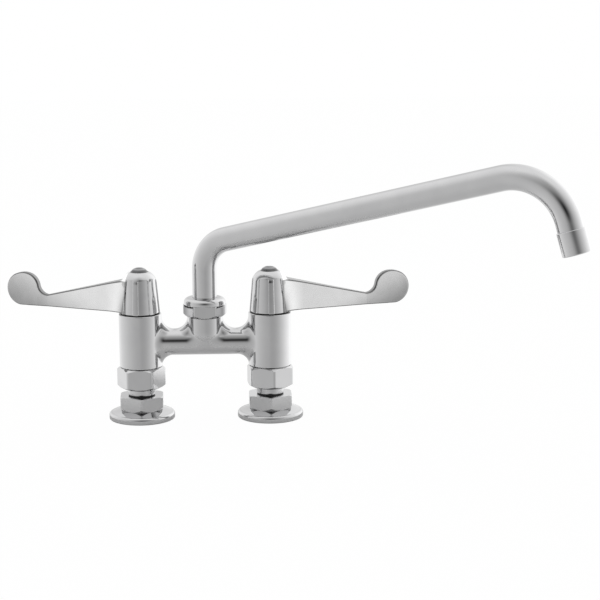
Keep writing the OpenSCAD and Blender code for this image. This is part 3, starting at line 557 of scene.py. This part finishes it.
# Across the flats and corner radius of each hexagon, and the bores that its piece has
BASE_HEX = (33.3, 2.2)
COUPLING_HEX = (33.8, 2.6)
SWIVEL_HEX = (30.0, 1.5)
INLET_DEPTH = 12.0
INLET_R = 9.15
TAIL_THREAD_R = 8.4
TAIL_BORE_R = 8.45
TAIL_R = 10.8
TAIL_COLLAR_R = 14.2
TAIL_COLLAR_LOW = 27.9
TAIL_COLLAR_TOP = 30.9
UNION_THREAD_R = 15.05
UNION_BORE_R = 11.1
SWIVEL_THREAD_R = 12.35
SWIVEL_THREAD_TOP = 92.5
TUBE_R = 9.525
TUBE_BORE_R = 8.325
TUBE_FIT_R = 9.575


# Half the angle that a flat of a hexagon takes up between its rounded corners
def flat_half(across, radius):
    return math.atan((1 - 2 * radius / across) * math.tan(math.pi / 6))


# Angles of the columns round a hexagon, closer together on its rounded corners
def hex_angles(across, radius):
    strip = flat_half(across, radius)
    angles = []
    for flat in range(6):
        middle = (flat + 0.5) * math.pi / 3
        angles += [middle + strip * share for share in np.linspace(-1, 1, FLAT_COLUMNS)]
        gap = math.pi / 6 - strip
        angles += [middle + strip + 2 * gap * share for share in np.linspace(0, 1, ROUND_COLUMNS)[1:-1]]
    return np.array(angles)


# Row of points, of which the radius and the height may change with the angle
def round_row(angles, radius, z):
    radius = np.broadcast_to(radius, angles.shape)
    z = np.broadcast_to(z, angles.shape)
    return np.stack([radius * np.cos(angles), radius * np.sin(angles), z], 1)


# Four rows of a hexagon's outside; foot and head say to what radius its corners are turned down at
# each end, and over what height
def hex_rows(angles, shape, low, high, foot, head):
    across, radius = shape
    foot_r, foot_h = foot
    head_r, head_h = head
    turn = np.abs(angles % (math.pi / 3) - math.pi / 6)
    middle = (across / 2 - radius) / math.cos(math.pi / 6)
    corner = middle + radius
    off = math.pi / 6 - turn
    rounded = middle * np.cos(off) + np.sqrt(np.maximum(0, radius ** 2 - (middle * np.sin(off)) ** 2))
    out = np.where(turn > flat_half(across, radius), rounded, across / 2 / np.cos(turn))
    foot_cut = foot_h * np.maximum(0, (out - foot_r) / (corner - foot_r))
    head_cut = head_h * np.maximum(0, (out - head_r) / (corner - head_r))
    return [round_row(angles, np.minimum(foot_r, out), low), round_row(angles, out, low + foot_cut),
            round_row(angles, out, high - head_cut), round_row(angles, np.minimum(head_r, out), high)]


def round_rows(angles, section):
    return [round_row(angles, out, z) for out, z in section]


# Places a piece on one leg, turned about the leg's axis
def on_leg(sign, degrees):
    return lambda row: turned(row, degrees, (sign * INLET_X, 0, 0))


# Flange with a rolled rim, a low dome, a neck and a hexagon in one piece
def make_inlet_flanges(material):
    angles = hex_angles(*BASE_HEX)
    low_r, high_r, rise = 23.5, 16.5, FLANGE_TOP - FLANGE_RIM
    drop = (low_r ** 2 - high_r ** 2 - rise ** 2) / (2 * rise)
    dome_r = math.hypot(low_r, drop)
    section = [(24.9, 0.0)] + arc(24.9, 1.0, 1.0, -80, 0, 6)
    section += arc(low_r, FLANGE_RIM - 2.4, 2.4, 0, 90, 10)
    for share in np.linspace(0, 1, 7)[1:]:
        out = low_r + (high_r - low_r) * share
        section.append((out, FLANGE_RIM - drop + math.sqrt(dome_r ** 2 - out ** 2)))
    section.append((high_r, BASE_HEX_LOW))
    rows = round_rows(angles, section)
    rows += hex_rows(angles, BASE_HEX, BASE_HEX_LOW, BASE_HEX_TOP, foot=(17.0, 1.6), head=(18.1, 0.5))
    rows += round_rows(angles, [(TAIL_BORE_R, BASE_HEX_TOP), (TAIL_BORE_R, INLET_DEPTH),
                                (INLET_R, INLET_DEPTH), (INLET_R, 0.0)])
    for side, sign in SIDES.items():
        work = bmesh.new()
        bridge_shell(work, rows)
        mesh_piece(side + "_foot", work, on_leg(sign, BASE_TURN), material, "body",
                   [side + "_inlet_flange"], 0.28)


# Union nut on each leg, open at the top for the casting's threaded spigot
def make_coupling_nuts(material):
    angles = hex_angles(*COUPLING_HEX)
    rows = hex_rows(angles, COUPLING_HEX, COUPLING_LOW, TOWER_FOOT, foot=(14.2, 2.7), head=(16.5, 1.8))
    rows += round_rows(angles, [(UNION_THREAD_R, TOWER_FOOT), (UNION_THREAD_R, TAIL_COLLAR_LOW),
                                (UNION_BORE_R, TAIL_COLLAR_LOW), (UNION_BORE_R, COUPLING_LOW)])
    for side, sign in SIDES.items():
        work = bmesh.new()
        bridge_shell(work, rows)
        mesh_piece(side + "_union_nut", work, on_leg(sign, COUPLING_TURN[side]), material, "body",
                   [side + "_coupling_nut"], 0.3)


# Nut whose round collar holds the spout down
def make_swivel_nut(material):
    angles = hex_angles(*SWIVEL_HEX)
    rows = hex_rows(angles, SWIVEL_HEX, BOSS_TOP, NUT_SHOULDER, foot=(14.3, 2.4), head=(16.75, 0.5))
    rows += round_rows(angles, [(SWIVEL_THREAD_R, NUT_SHOULDER), (SWIVEL_THREAD_R, BOSS_TOP)])
    collar = [(SWIVEL_THREAD_R, NUT_SHOULDER - 0.4), (14.4, NUT_SHOULDER - 0.4), (16.1, NUT_SHOULDER),
              (16.4, NUT_SHOULDER + 0.3)]
    collar += arc(12.6, NUT_TOP - 3.8, 3.8, 0, 90, 12)
    collar += [(9.9, NUT_TOP), (TUBE_FIT_R, NUT_TOP - 0.3), (TUBE_FIT_R, SWIVEL_THREAD_TOP),
               (SWIVEL_THREAD_R, SWIVEL_THREAD_TOP)]
    work = bmesh.new()
    bridge_shell(work, rows)
    spin_shell(work, collar)
    mesh_piece("spout_nut", work, lambda row: turned(row, SWIVEL_TURN), material, "body",
               ["swivel_nut"], 0.2)


# Threaded foot, round body and collar of each tailpiece
def make_tailpieces(material):
    section = [(TAIL_THREAD_R, INLET_DEPTH), (TAIL_THREAD_R, TAIL_LOW), (TAIL_R - 0.3, TAIL_LOW),
               (TAIL_R, TAIL_LOW + 0.3), (TAIL_R, TAIL_COLLAR_LOW), (TAIL_COLLAR_R, TAIL_COLLAR_LOW),
               (TAIL_COLLAR_R, TAIL_COLLAR_TOP), (WATER_R, TAIL_COLLAR_TOP), (WATER_R, INLET_DEPTH)]
    for side, sign in SIDES.items():
        work = bmesh.new()
        spin_shell(work, section)
        mesh_piece(side + "_tail", work, on_leg(sign, 0), material, "body", [side + "_tailpiece"])


# Thin black ring between each flange's hexagon and the tailpiece
def make_tail_seals(material):
    low, high = BASE_HEX_TOP + 0.01, TAIL_LOW - 0.01
    section = [(TAIL_BORE_R, low), (10.3, low), (10.4, low + 0.1), (10.4, high), (TAIL_BORE_R, high)]
    for side, sign in SIDES.items():
        work = bmesh.new()
        spin_shell(work, section)
        piece = mesh_piece(side + "_ring", work, on_leg(sign, 0), material, "body", [side + "_tail_seal"])


# Spout centre line in its own plane: riser, two bends and a straight arm between them
ARM_LEAN = 14.8
TIP_LEAN = 73.0
REACH = 304.8
CORNER_Z = 138.8
LOW_R = 26.0
HIGH_R = 42.0
TIP_LEN = 23.0
TIP_GAP = 10.5
TUBE_LOW = 91.45
STRIP = 3


# Bends of the spout and its outlet, in the plane of its centre line
def spout_plan():
    low_reach = LOW_R * math.tan(math.radians(90 - ARM_LEAN) / 2)
    high_reach = HIGH_R * math.tan(math.radians(ARM_LEAN + TIP_LEAN) / 2)
    tip = math.radians(TIP_LEAN)
    lean = math.radians(ARM_LEAN)
    corner_s = REACH - (high_reach + TIP_LEN) * math.cos(tip)
    corner_z = CORNER_Z + corner_s * math.tan(lean)
    outlet = (REACH, corner_z - (high_reach + TIP_LEN) * math.sin(tip))
    high_centre = (corner_s - high_reach * math.cos(lean) + HIGH_R * math.sin(lean),
                   corner_z - high_reach * math.sin(lean) - HIGH_R * math.cos(lean))
    arm = corner_s / math.cos(lean) - low_reach - high_reach
    return CORNER_Z - low_reach, arm, high_centre, outlet


# Wall section at the riser's foot, drawn up, round the two bends and along the arm
def make_spout_tube(material):
    riser_top, arm, high_centre, _ = spout_plan()
    work = bmesh.new()
    for radius in (TUBE_R, TUBE_BORE_R):
        bmesh.ops.create_circle(work, segments=96, radius=radius * MM,
                                matrix=Matrix.Translation((0, 0, TUBE_LOW * MM)))
    foot = work.edges[:]
    bmesh.ops.bridge_loops(work, edges=foot)
    front = foot

    def draw(front, length, lean):
        made = bmesh.ops.extrude_edge_only(work, edges=front)["geom"]
        tilt = math.radians(lean)
        step = Vector((math.cos(tilt), 0, math.sin(tilt))) * length * MM
        ahead = [item for item in made if isinstance(item, bmesh.types.BMVert)]
        bmesh.ops.translate(work, vec=step, verts=ahead)
        return [item for item in made if isinstance(item, bmesh.types.BMEdge)]

    def bend(front, centre, degrees, steps):
        corners = list({vert for edge in front for vert in edge.verts})
        made = bmesh.ops.spin(work, geom=corners + front, cent=(centre[0] * MM, 0, centre[1] * MM),
                              axis=(0, 1, 0), angle=math.radians(degrees), steps=steps)["geom_last"]
        return [item for item in made if isinstance(item, bmesh.types.BMEdge)]

    for length in (riser_top - TUBE_LOW - STRIP, STRIP):
        front = draw(front, length, 90)
    front = bend(front, (LOW_R, riser_top), 90 - ARM_LEAN, 30)
    for length in (STRIP, arm - 2 * STRIP, STRIP):
        front = draw(front, length, ARM_LEAN)
    front = bend(front, high_centre, ARM_LEAN + TIP_LEAN, 42)
    front = draw(front, TIP_LEN - TIP_GAP, -TIP_LEAN)
    bmesh.ops.bridge_loops(work, edges=front)
    mesh_piece("spout_pipe", work, lambda row: turned(row, SPOUT_TURN), material, "spout", ["spout_tube"])


# Places a piece on the end of the spout, along its last straight
def on_outlet(row):
    outlet = spout_plan()[3]
    tilt = math.radians(90 - TIP_LEAN)
    s = row[:, 0] * math.cos(tilt) - row[:, 2] * math.sin(tilt)
    z = row[:, 0] * math.sin(tilt) + row[:, 2] * math.cos(tilt)
    return turned(np.stack([s + outlet[0], row[:, 1], z + outlet[1]], 1), SPOUT_TURN)


# Shell that screws over the end of the tube, with rolled rims
def make_aerator_shell(material):
    section = [(7.625, 1.0), (7.625, 0.25), (7.9, 0.0)] + arc(9.6, 0.8, 0.8, -90, 0, 6)
    section += arc(9.7, 16.9, 0.7, 0, 90, 5) + [(TUBE_FIT_R, 17.6), (TUBE_FIT_R, 1.0)]
    work = bmesh.new()
    spin_shell(work, section)
    mesh_piece("outlet_shell", work, on_outlet, material, "spout", ["aerator_housing"])


BUTTON_R = 7.0
BUTTON_RISE = 3.6
BUTTON_FLATNESS = 3.2


# Button with a flat-topped dome, pressed into the top of each hub
def make_buttons(material):
    low = HUB_TOP - 2.8
    section = [(0.0, low), (6.6, low), (BUTTON_R, low + 0.4), (BUTTON_R, HUB_TOP - 0.1)]
    for out in (6.93, 6.75, 6.4, 5.9, 5.2, 4.4, 3.5, 2.6, 1.7, 0.8, 0.0):
        section.append((out, HUB_TOP + BUTTON_RISE * (1 - (out / BUTTON_R) ** BUTTON_FLATNESS)))
    for side, sign in SIDES.items():
        work = bmesh.new()
        spin_shell(work, section)
        piece = mesh_piece(side + "_button", work, on_leg(sign, 0), material, side + "_valve",
                           [side + "_index_button"])


# Puts a number or another node's result into a socket
def feed(tree, socket, value):
    if isinstance(value, (int, float)):
        socket.default_value = value
    else:
        tree.links.new(value, socket)


def math_node(tree, operation, *values):
    node = tree.nodes.new("ShaderNodeMath")
    node.operation = operation
    for socket, value in zip(node.inputs, values):
        feed(tree, socket, value)
    return node.outputs[0]


# Soft step from one level to another
def map_node(tree, value, low, high, to_low=0.0, to_high=1.0):
    node = tree.nodes.new("ShaderNodeMapRange")
    node.interpolation_type = "SMOOTHSTEP"
    tree.links.new(value, node.inputs["Value"])
    node.inputs["From Min"].default_value = low
    node.inputs["From Max"].default_value = high
    node.inputs["To Min"].default_value = to_low
    node.inputs["To Max"].default_value = to_high
    return node.outputs["Result"]


def mix_node(tree, factor, first, second):
    node = tree.nodes.new("ShaderNodeMix")
    node.data_type = "FLOAT"
    for name, value in (("Factor", factor), ("A", first), ("B", second)):
        feed(tree, node.inputs[name], value)
    return node.outputs["Result"]


# Square of the distance from an axis
def square_node(tree, first, second):
    return math_node(tree, "ADD", math_node(tree, "MULTIPLY", first, first),
                     math_node(tree, "MULTIPLY", second, second))


def split_node(tree, vector):
    node = tree.nodes.new("ShaderNodeSeparateXYZ")
    tree.links.new(vector, node.inputs[0])
    return node.outputs


# Bell of light or shade about one direction, with its own width on each side of the middle height
def bell_node(tree, turn, height, at_turn, at_height, turn_width, up_width, down_width):
    across = math_node(tree, "DIVIDE", math_node(tree, "SUBTRACT", turn, at_turn), turn_width)
    rise = math_node(tree, "SUBTRACT", height, at_height)
    above = math_node(tree, "GREATER_THAN", rise, 0.0)
    along = math_node(tree, "DIVIDE", rise, mix_node(tree, above, down_width, up_width))
    away = square_node(tree, across, along)
    return math_node(tree, "EXPONENT", math_node(tree, "MULTIPLY", away, -1.0))


# Light levels by turn from the front, in radians: from, to, and the level at each
RIGHT_LIGHT = (0.3, 2.5, 0.42, 1.1)
LEFT_LIGHT = (0.1, 3.1, 0.47, 0.90)
BEHIND_SHARE = (2.4, 3.1, 1.0, 0.66)
# Heights in radians between which the side light turns into that of the top or the bottom
TOP_RISE_AT = (0.3, 1.3)
LOW_FALL_AT = (-0.3, -1.2)
TOP_LEVEL = 0.82
LOW_LEVEL = 0.5
# Bells of shade, in radians: turn, height, width round, width up, width down
HIGH_SHADE = (0.0, 0.85, 0.7, 0.4, 0.6)
HIGH_SHARE = 0.42
CAMERA_DARK = (0.0, 0.32, 0.45, 0.3, 0.3)
DARK_LEVEL = 0.02
TENT_STRENGTH = 1.4


# Studio light by direction: bright tent at the sides and back, grey front, shade high above the
# camera and dark round the camera itself
def make_world():
    world = bpy.data.worlds.new("studio")
    world.use_nodes = True
    tree = world.node_tree
    tree.nodes.clear()
    coords = tree.nodes.new("ShaderNodeTexCoord")
    x, y, z = split_node(tree, coords.outputs["Generated"])
    turn = math_node(tree, "ARCTAN2", x, math_node(tree, "MULTIPLY", y, -1.0))
    height = math_node(tree, "ARCSINE", z)
    right = map_node(tree, turn, *RIGHT_LIGHT)
    left = map_node(tree, math_node(tree, "MULTIPLY", turn, -1.0), *LEFT_LIGHT)
    side = mix_node(tree, map_node(tree, turn, -0.2, 0.2), left, right)
    behind = map_node(tree, math_node(tree, "ABSOLUTE", turn), *BEHIND_SHARE)
    side = math_node(tree, "MULTIPLY", side, behind)
    level = mix_node(tree, map_node(tree, height, *TOP_RISE_AT), side, TOP_LEVEL)
    level = mix_node(tree, map_node(tree, height, *LOW_FALL_AT), level, LOW_LEVEL)
    shade = bell_node(tree, turn, height, *HIGH_SHADE)
    level = mix_node(tree, math_node(tree, "MULTIPLY", shade, HIGH_SHARE), level, 0.0)
    level = mix_node(tree, bell_node(tree, turn, height, *CAMERA_DARK), level, DARK_LEVEL)
    tent_light = tree.nodes.new("ShaderNodeBackground")
    tree.links.new(level, tent_light.inputs["Color"])
    tent_light.inputs["Strength"].default_value = TENT_STRENGTH
    paper = tree.nodes.new("ShaderNodeBackground")
    paper.inputs["Color"].default_value = (1, 1, 1, 1)
    paths = tree.nodes.new("ShaderNodeLightPath")
    mix_shaders(tree, paths.outputs["Is Camera Ray"], tent_light, paper, "ShaderNodeOutputWorld")
    bpy.context.scene.world = world


def mix_shaders(tree, share, first, second, output):
    mixed = tree.nodes.new("ShaderNodeMixShader")
    tree.links.new(share, mixed.inputs[0])
    tree.links.new(first.outputs[0], mixed.inputs[1])
    tree.links.new(second.outputs[0], mixed.inputs[2])
    out = tree.nodes.new(output)
    tree.links.new(mixed.outputs[0], out.inputs["Surface"])


# Flat square sheet just under the deck's level, with an empty material
def sheet(name, material_name, half, depth):
    mesh = bpy.data.meshes.new(name)
    work = bmesh.new()
    bmesh.ops.create_grid(work, x_segments=1, y_segments=1, size=half)
    work.to_mesh(mesh)
    work.free()
    floor = bpy.data.objects.new(name, mesh)
    floor.location.z = -depth
    bpy.context.scene.collection.objects.link(floor)
    material = bpy.data.materials.new(material_name)
    material.use_nodes = True
    material.node_tree.nodes.clear()
    mesh.materials.append(material)
    return floor, material.node_tree


# White floor, whose own light hides all but a trace of shadow as in the photograph
def make_floor():
    floor, tree = sheet("floor", "paper_floor", half=3, depth=0.0002)
    diffuse = tree.nodes.new("ShaderNodeBsdfDiffuse")
    diffuse.inputs["Color"].default_value = (0.9, 0.9, 0.9, 1)
    glow = tree.nodes.new("ShaderNodeEmission")
    glow.inputs["Color"].default_value = (1, 1, 1, 1)
    paths = tree.nodes.new("ShaderNodeLightPath")
    share = math_node(tree, "MULTIPLY", paths.outputs["Is Camera Ray"], 0.97)
    mix_shaders(tree, share, diffuse, glow, "ShaderNodeOutputMaterial")
    floor.visible_glossy = False


# Paper close to the feet, seen only in reflections, which fades out further away
def make_near_floor():
    floor, tree = sheet("near_floor", "near_paper", half=0.25, depth=0.0001)
    coords = tree.nodes.new("ShaderNodeTexCoord")
    squash = tree.nodes.new("ShaderNodeVectorMath")
    squash.operation = "MULTIPLY"
    squash.inputs[1].default_value = (0.6, 1, 1)
    tree.links.new(coords.outputs["Object"], squash.inputs[0])
    reach = tree.nodes.new("ShaderNodeVectorMath")
    reach.operation = "LENGTH"
    tree.links.new(squash.outputs[0], reach.inputs[0])
    diffuse = tree.nodes.new("ShaderNodeBsdfDiffuse")
    diffuse.inputs["Color"].default_value = (0.75, 0.75, 0.75, 1)
    clear = tree.nodes.new("ShaderNodeBsdfTransparent")
    fade = map_node(tree, reach.outputs["Value"], 0.055, 0.11)
    mix_shaders(tree, fade, diffuse, clear, "ShaderNodeOutputMaterial")
    floor.visible_camera = False
    floor.visible_diffuse = False
    floor.visible_shadow = False


def new_material(name, metallic, roughness):
    material = bpy.data.materials.new(name)
    material.use_nodes = True
    shader = material.node_tree.nodes["Principled BSDF"]
    shader.inputs["Metallic"].default_value = metallic
    shader.inputs["Roughness"].default_value = roughness
    return material, material.node_tree, shader


def noise_node(tree, scale, detail=3.0, distortion=0.0):
    coords = tree.nodes.new("ShaderNodeTexCoord")
    node = tree.nodes.new("ShaderNodeTexNoise")
    node.inputs["Scale"].default_value = scale
    node.inputs["Detail"].default_value = detail
    node.inputs["Distortion"].default_value = distortion
    tree.links.new(coords.outputs["Object"], node.inputs["Vector"])
    return node.outputs["Fac"]


# Colour that follows a noise from one tint to another
def tint_node(tree, value, low, high):
    node = tree.nodes.new("ShaderNodeValToRGB")
    for element, place, colour in zip(node.color_ramp.elements, (0.3, 0.7), (low, high)):
        element.position = place
        element.color = (*colour, 1)
    tree.links.new(value, node.inputs["Fac"])
    return node.outputs["Color"]


def bump_node(tree, shader, value, distance):
    node = tree.nodes.new("ShaderNodeBump")
    node.inputs["Strength"].default_value = 1.0
    node.inputs["Distance"].default_value = distance
    tree.links.new(value, node.inputs["Height"])
    tree.links.new(node.outputs["Normal"], shader.inputs["Normal"])


PLATE_TINTS = ((0.555, 0.555, 0.56), (0.59, 0.59, 0.593))

# Lever plate in millimetres: soft edge of the satin, the painted shade of the seam beside it, where the
# hub ends along the blade, and how far and from what height the blade's painted shade reaches
SATIN_SOFT = 0.3
PAINTED_SEAM = (0.7, 1.4)
HUB_END = (14, 15.5)
PAINTED_SHADE_END = 135
PAINTED_SHADE_W = 10
PAINTED_SHADE_LEAN = 2.2


# Bright plate over metal; the waves are those left by polishing
def chrome(name, wave_scale, wave_height):
    material, tree, shader = new_material(name, 1.0, 0.06)
    haze = noise_node(tree, 55, 4.0, 0.6)
    tree.links.new(tint_node(tree, haze, *PLATE_TINTS), shader.inputs["Base Color"])
    tree.links.new(map_node(tree, haze, 0.35, 0.75, 0.03, 0.09), shader.inputs["Roughness"])
    bump_node(tree, shader, noise_node(tree, wave_scale, 1.0), wave_height)
    return material


# Place along a lever's blade and across it, from a vector in the object's own frame
def lever_frame(tree, vector, side_x, degrees):
    x, y, z = split_node(tree, vector)
    x = math_node(tree, "SUBTRACT", x, side_x * MM)
    cos, sin = math.cos(math.radians(degrees)), math.sin(math.radians(degrees))
    along = math_node(tree, "ADD", math_node(tree, "MULTIPLY", x, cos),
                      math_node(tree, "MULTIPLY", y, sin))
    across = math_node(tree, "SUBTRACT", math_node(tree, "MULTIPLY", y, cos),
                       math_node(tree, "MULTIPLY", x, sin))
    return along, across, z


def grey_mix(tree, factor, first, second):
    node = tree.nodes.new("ShaderNodeMix")
    node.data_type = "RGBA"
    tree.links.new(factor, node.inputs[0])
    tree.links.new(first, node.inputs[6])
    tree.links.new(second, node.inputs[7])
    return node.outputs[2]


# Lever plate: mirror bright round the hub, satin on the blade whose paler tint is painted light, painted
# shade towards the paddle's foot and lower down, painted dark reflections on its rims and painted shade
# on the seam beside the hub
def lever_chrome(name, side_x, degrees, start, painted_shade_start):
    material, tree, shader = new_material(name, 1.0, 0.06)
    coords = tree.nodes.new("ShaderNodeTexCoord")
    along, _, height = lever_frame(tree, coords.outputs["Object"], side_x, degrees)
    _, facing, _ = lever_frame(tree, coords.outputs["Normal"], 0.0, degrees)
    blade = map_node(tree, along, (start - SATIN_SOFT) * MM, (start + SATIN_SOFT) * MM)
    facing = math_node(tree, "ABSOLUTE", facing)
    ridge = map_node(tree, facing, 0.15, 0.4, 0.8, 1.0)
    rounded = math_node(tree, "MULTIPLY", map_node(tree, facing, 0.82, 0.97, 1.0, 0.0), ridge)
    # Painted shade in a line where the blade's satin meets the hub's mirror
    line = math_node(tree, "ABSOLUTE", math_node(tree, "SUBTRACT", along, start * MM))
    painted_seam_shade = map_node(tree, line, PAINTED_SEAM[0] * MM, PAINTED_SEAM[1] * MM, 0.7, 0.0)
    root = HUB_LOW + ROOT_W
    below = map_node(tree, height, (root - 0.6) * MM, (root + 0.4) * MM, 1.0, 0.0)
    off_hub = math_node(tree, "MAXIMUM", below, map_node(tree, along, HUB_END[0] * MM, HUB_END[1] * MM))
    # Painted dark reflection on the blade's rounded rims, joined with the painted shade on the seam
    painted_dark_mask = math_node(tree, "MAXIMUM", math_node(tree, "MULTIPLY", rounded, blade), painted_seam_shade)
    painted_dark_mask = math_node(tree, "MULTIPLY", painted_dark_mask, off_hub)
    # Painted shade: the blade darkens towards the paddle's foot and lower down, from a reach that differs
    # on each side
    low = math_node(tree, "SUBTRACT", (HUB_LOW + PAINTED_SHADE_W) * MM, height)
    reach = math_node(tree, "ADD", along, math_node(tree, "MULTIPLY", low, PAINTED_SHADE_LEAN))
    painted_shade = math_node(tree, "MULTIPLY", map_node(tree, reach, painted_shade_start * MM, PAINTED_SHADE_END * MM), blade)
    haze = noise_node(tree, 90, 4.0, 0.8)
    mirror = tint_node(tree, haze, *PLATE_TINTS)
    # Satin finish: its brushed roughness is its own, its tint paler than the mirror is painted light
    satin_and_painted_light = tint_node(tree, haze, (0.89, 0.89, 0.89), (0.95, 0.95, 0.95))
    # Darker tint of the painted shade on the blade
    painted_tone = tint_node(tree, haze, (0.37, 0.37, 0.37), (0.44, 0.44, 0.44))
    # Colour of the painted dark reflections and the painted seam shade
    dark = tint_node(tree, haze, (0.12, 0.12, 0.12), (0.17, 0.17, 0.17))
    tint = grey_mix(tree, blade, mirror, grey_mix(tree, painted_shade, satin_and_painted_light, painted_tone))
    tree.links.new(grey_mix(tree, painted_dark_mask, tint, dark), shader.inputs["Base Color"])
    smooth = map_node(tree, haze, 0.35, 0.75, 0.03, 0.08)
    brushed = map_node(tree, haze, 0.35, 0.75, 0.24, 0.34)
    tree.links.new(mix_node(tree, blade, smooth, brushed), shader.inputs["Roughness"])
    bump_node(tree, shader, noise_node(tree, 45, 1.0), 0.00006)
    return material


def brass():
    material, tree, shader = new_material("brass", 1.0, 0.25)
    grain = noise_node(tree, 400, 2.0)
    tint = tint_node(tree, grain, (0.70, 0.53, 0.24), (0.80, 0.64, 0.34))
    tree.links.new(tint, shader.inputs["Base Color"])
    bump_node(tree, shader, grain, 0.00002)
    return material


def rubber(name, dark, pale):
    material, tree, shader = new_material(name, 0.0, 0.55)
    grain = noise_node(tree, 900, 4.0)
    tree.links.new(tint_node(tree, grain, dark, pale), shader.inputs["Base Color"])
    bump_node(tree, shader, grain, 0.00002)
    return material


def ceramic():
    material, tree, shader = new_material("ceramic", 0.0, 0.12)
    grain = noise_node(tree, 700, 2.0)
    tint = tint_node(tree, grain, (0.84, 0.83, 0.80), (0.91, 0.90, 0.87))
    tree.links.new(tint, shader.inputs["Base Color"])
    return material


def stainless():
    material, tree, shader = new_material("stainless", 1.0, 0.22)
    grain = noise_node(tree, 600, 3.0, 0.3)
    tint = tint_node(tree, grain, (0.55, 0.55, 0.56), (0.66, 0.66, 0.67))
    tree.links.new(tint, shader.inputs["Base Color"])
    bump_node(tree, shader, grain, 0.00001)
    return material


def white_nylon():
    material, tree, shader = new_material("white_nylon", 0.0, 0.45)
    grain = noise_node(tree, 500, 3.0)
    tint = tint_node(tree, grain, (0.80, 0.81, 0.80), (0.88, 0.89, 0.88))
    tree.links.new(tint, shader.inputs["Base Color"])
    bump_node(tree, shader, grain, 0.00001)
    return material


# Dark metal with a paler ring round the button's top, a painted highlight; one rule serves both valves
def index_grey():
    material, tree, shader = new_material("index_grey", 1.0, 0.1)
    coords = tree.nodes.new("ShaderNodeTexCoord")
    x, y, _ = split_node(tree, coords.outputs["Object"])
    x = math_node(tree, "SUBTRACT", math_node(tree, "ABSOLUTE", x), INLET_X * MM)
    out = math_node(tree, "SQRT", square_node(tree, x, y))
    # Painted highlight: a paler ring round the top of the dome
    ring = math_node(tree, "MULTIPLY", map_node(tree, out, 2.6 * MM, 3.6 * MM),
                     map_node(tree, out, 4.6 * MM, 5.6 * MM, 1.0, 0.0))
    haze = noise_node(tree, 220, 3.0)
    painted_tone = tint_node(tree, haze, (0.27, 0.27, 0.273), (0.33, 0.33, 0.334))
    dark = tint_node(tree, haze, (0.10, 0.10, 0.102), (0.14, 0.14, 0.142))
    tree.links.new(grey_mix(tree, ring, dark, painted_tone), shader.inputs["Base Color"])
    bump_node(tree, shader, haze, 0.00002)
    return material


def make_materials():
    return {
        "polished_chrome": chrome("chrome_turned", 60, 0.00002),
        "cast": chrome("chrome_cast", 45, 0.00008),
        "tube": chrome("chrome_tube", 30, 0.00005),
        "brass": brass(),
        "black_rubber": rubber("black_rubber", (0.02, 0.02, 0.02), (0.045, 0.045, 0.045)),
        "fibre_gasket": rubber("fibre_gasket", (0.20, 0.05, 0.035), (0.30, 0.09, 0.06)),
        "ceramic": ceramic(),
        "stainless": stainless(),
        "white_nylon": white_nylon(),
        "index_grey": index_grey(),
    }


# Every CAD node takes the finish of its slot in the record
def dress_nodes(materials):
    for part in frame["record"]["subparts"]:
        shown = frame["nodes"][part["node"]]
        finish = materials[part["material_slot"]]
        if not shown.material_slots:
            shown.data.materials.append(finish)
        for place in shown.material_slots:
            place.material = finish


def make_levers():
    points, faces, normals = skin_of(lever, (-17, -17, -1), (120, 17, 33), 0.4)
    for side, sign in SIDES.items():
        turn = HANDLE_TURN[side]
        placed = turned(points, turn, (sign * INLET_X, 0, HUB_LOW))
        finish = lever_chrome("chrome_" + side + "_lever", sign * INLET_X, turn, SATIN_START[side],
                              PAINTED_SHADE_START[side])
        skin_piece(side + "_lever", placed, faces, turned(normals, turn), finish, side + "_valve",
                   [side + "_handle"])


bpy.context.scene.view_settings.view_transform = "Standard"
make_camera()
make_world()
make_floor()
make_near_floor()
materials = make_materials()
dress_nodes(materials)
make_casting(materials["cast"])
make_levers()
make_inlet_flanges(materials["polished_chrome"])
make_coupling_nuts(materials["polished_chrome"])
make_swivel_nut(materials["polished_chrome"])
make_tailpieces(materials["polished_chrome"])
make_tail_seals(materials["black_rubber"])
make_spout_tube(materials["tube"])
make_aerator_shell(materials["polished_chrome"])
make_buttons(materials["index_grey"])
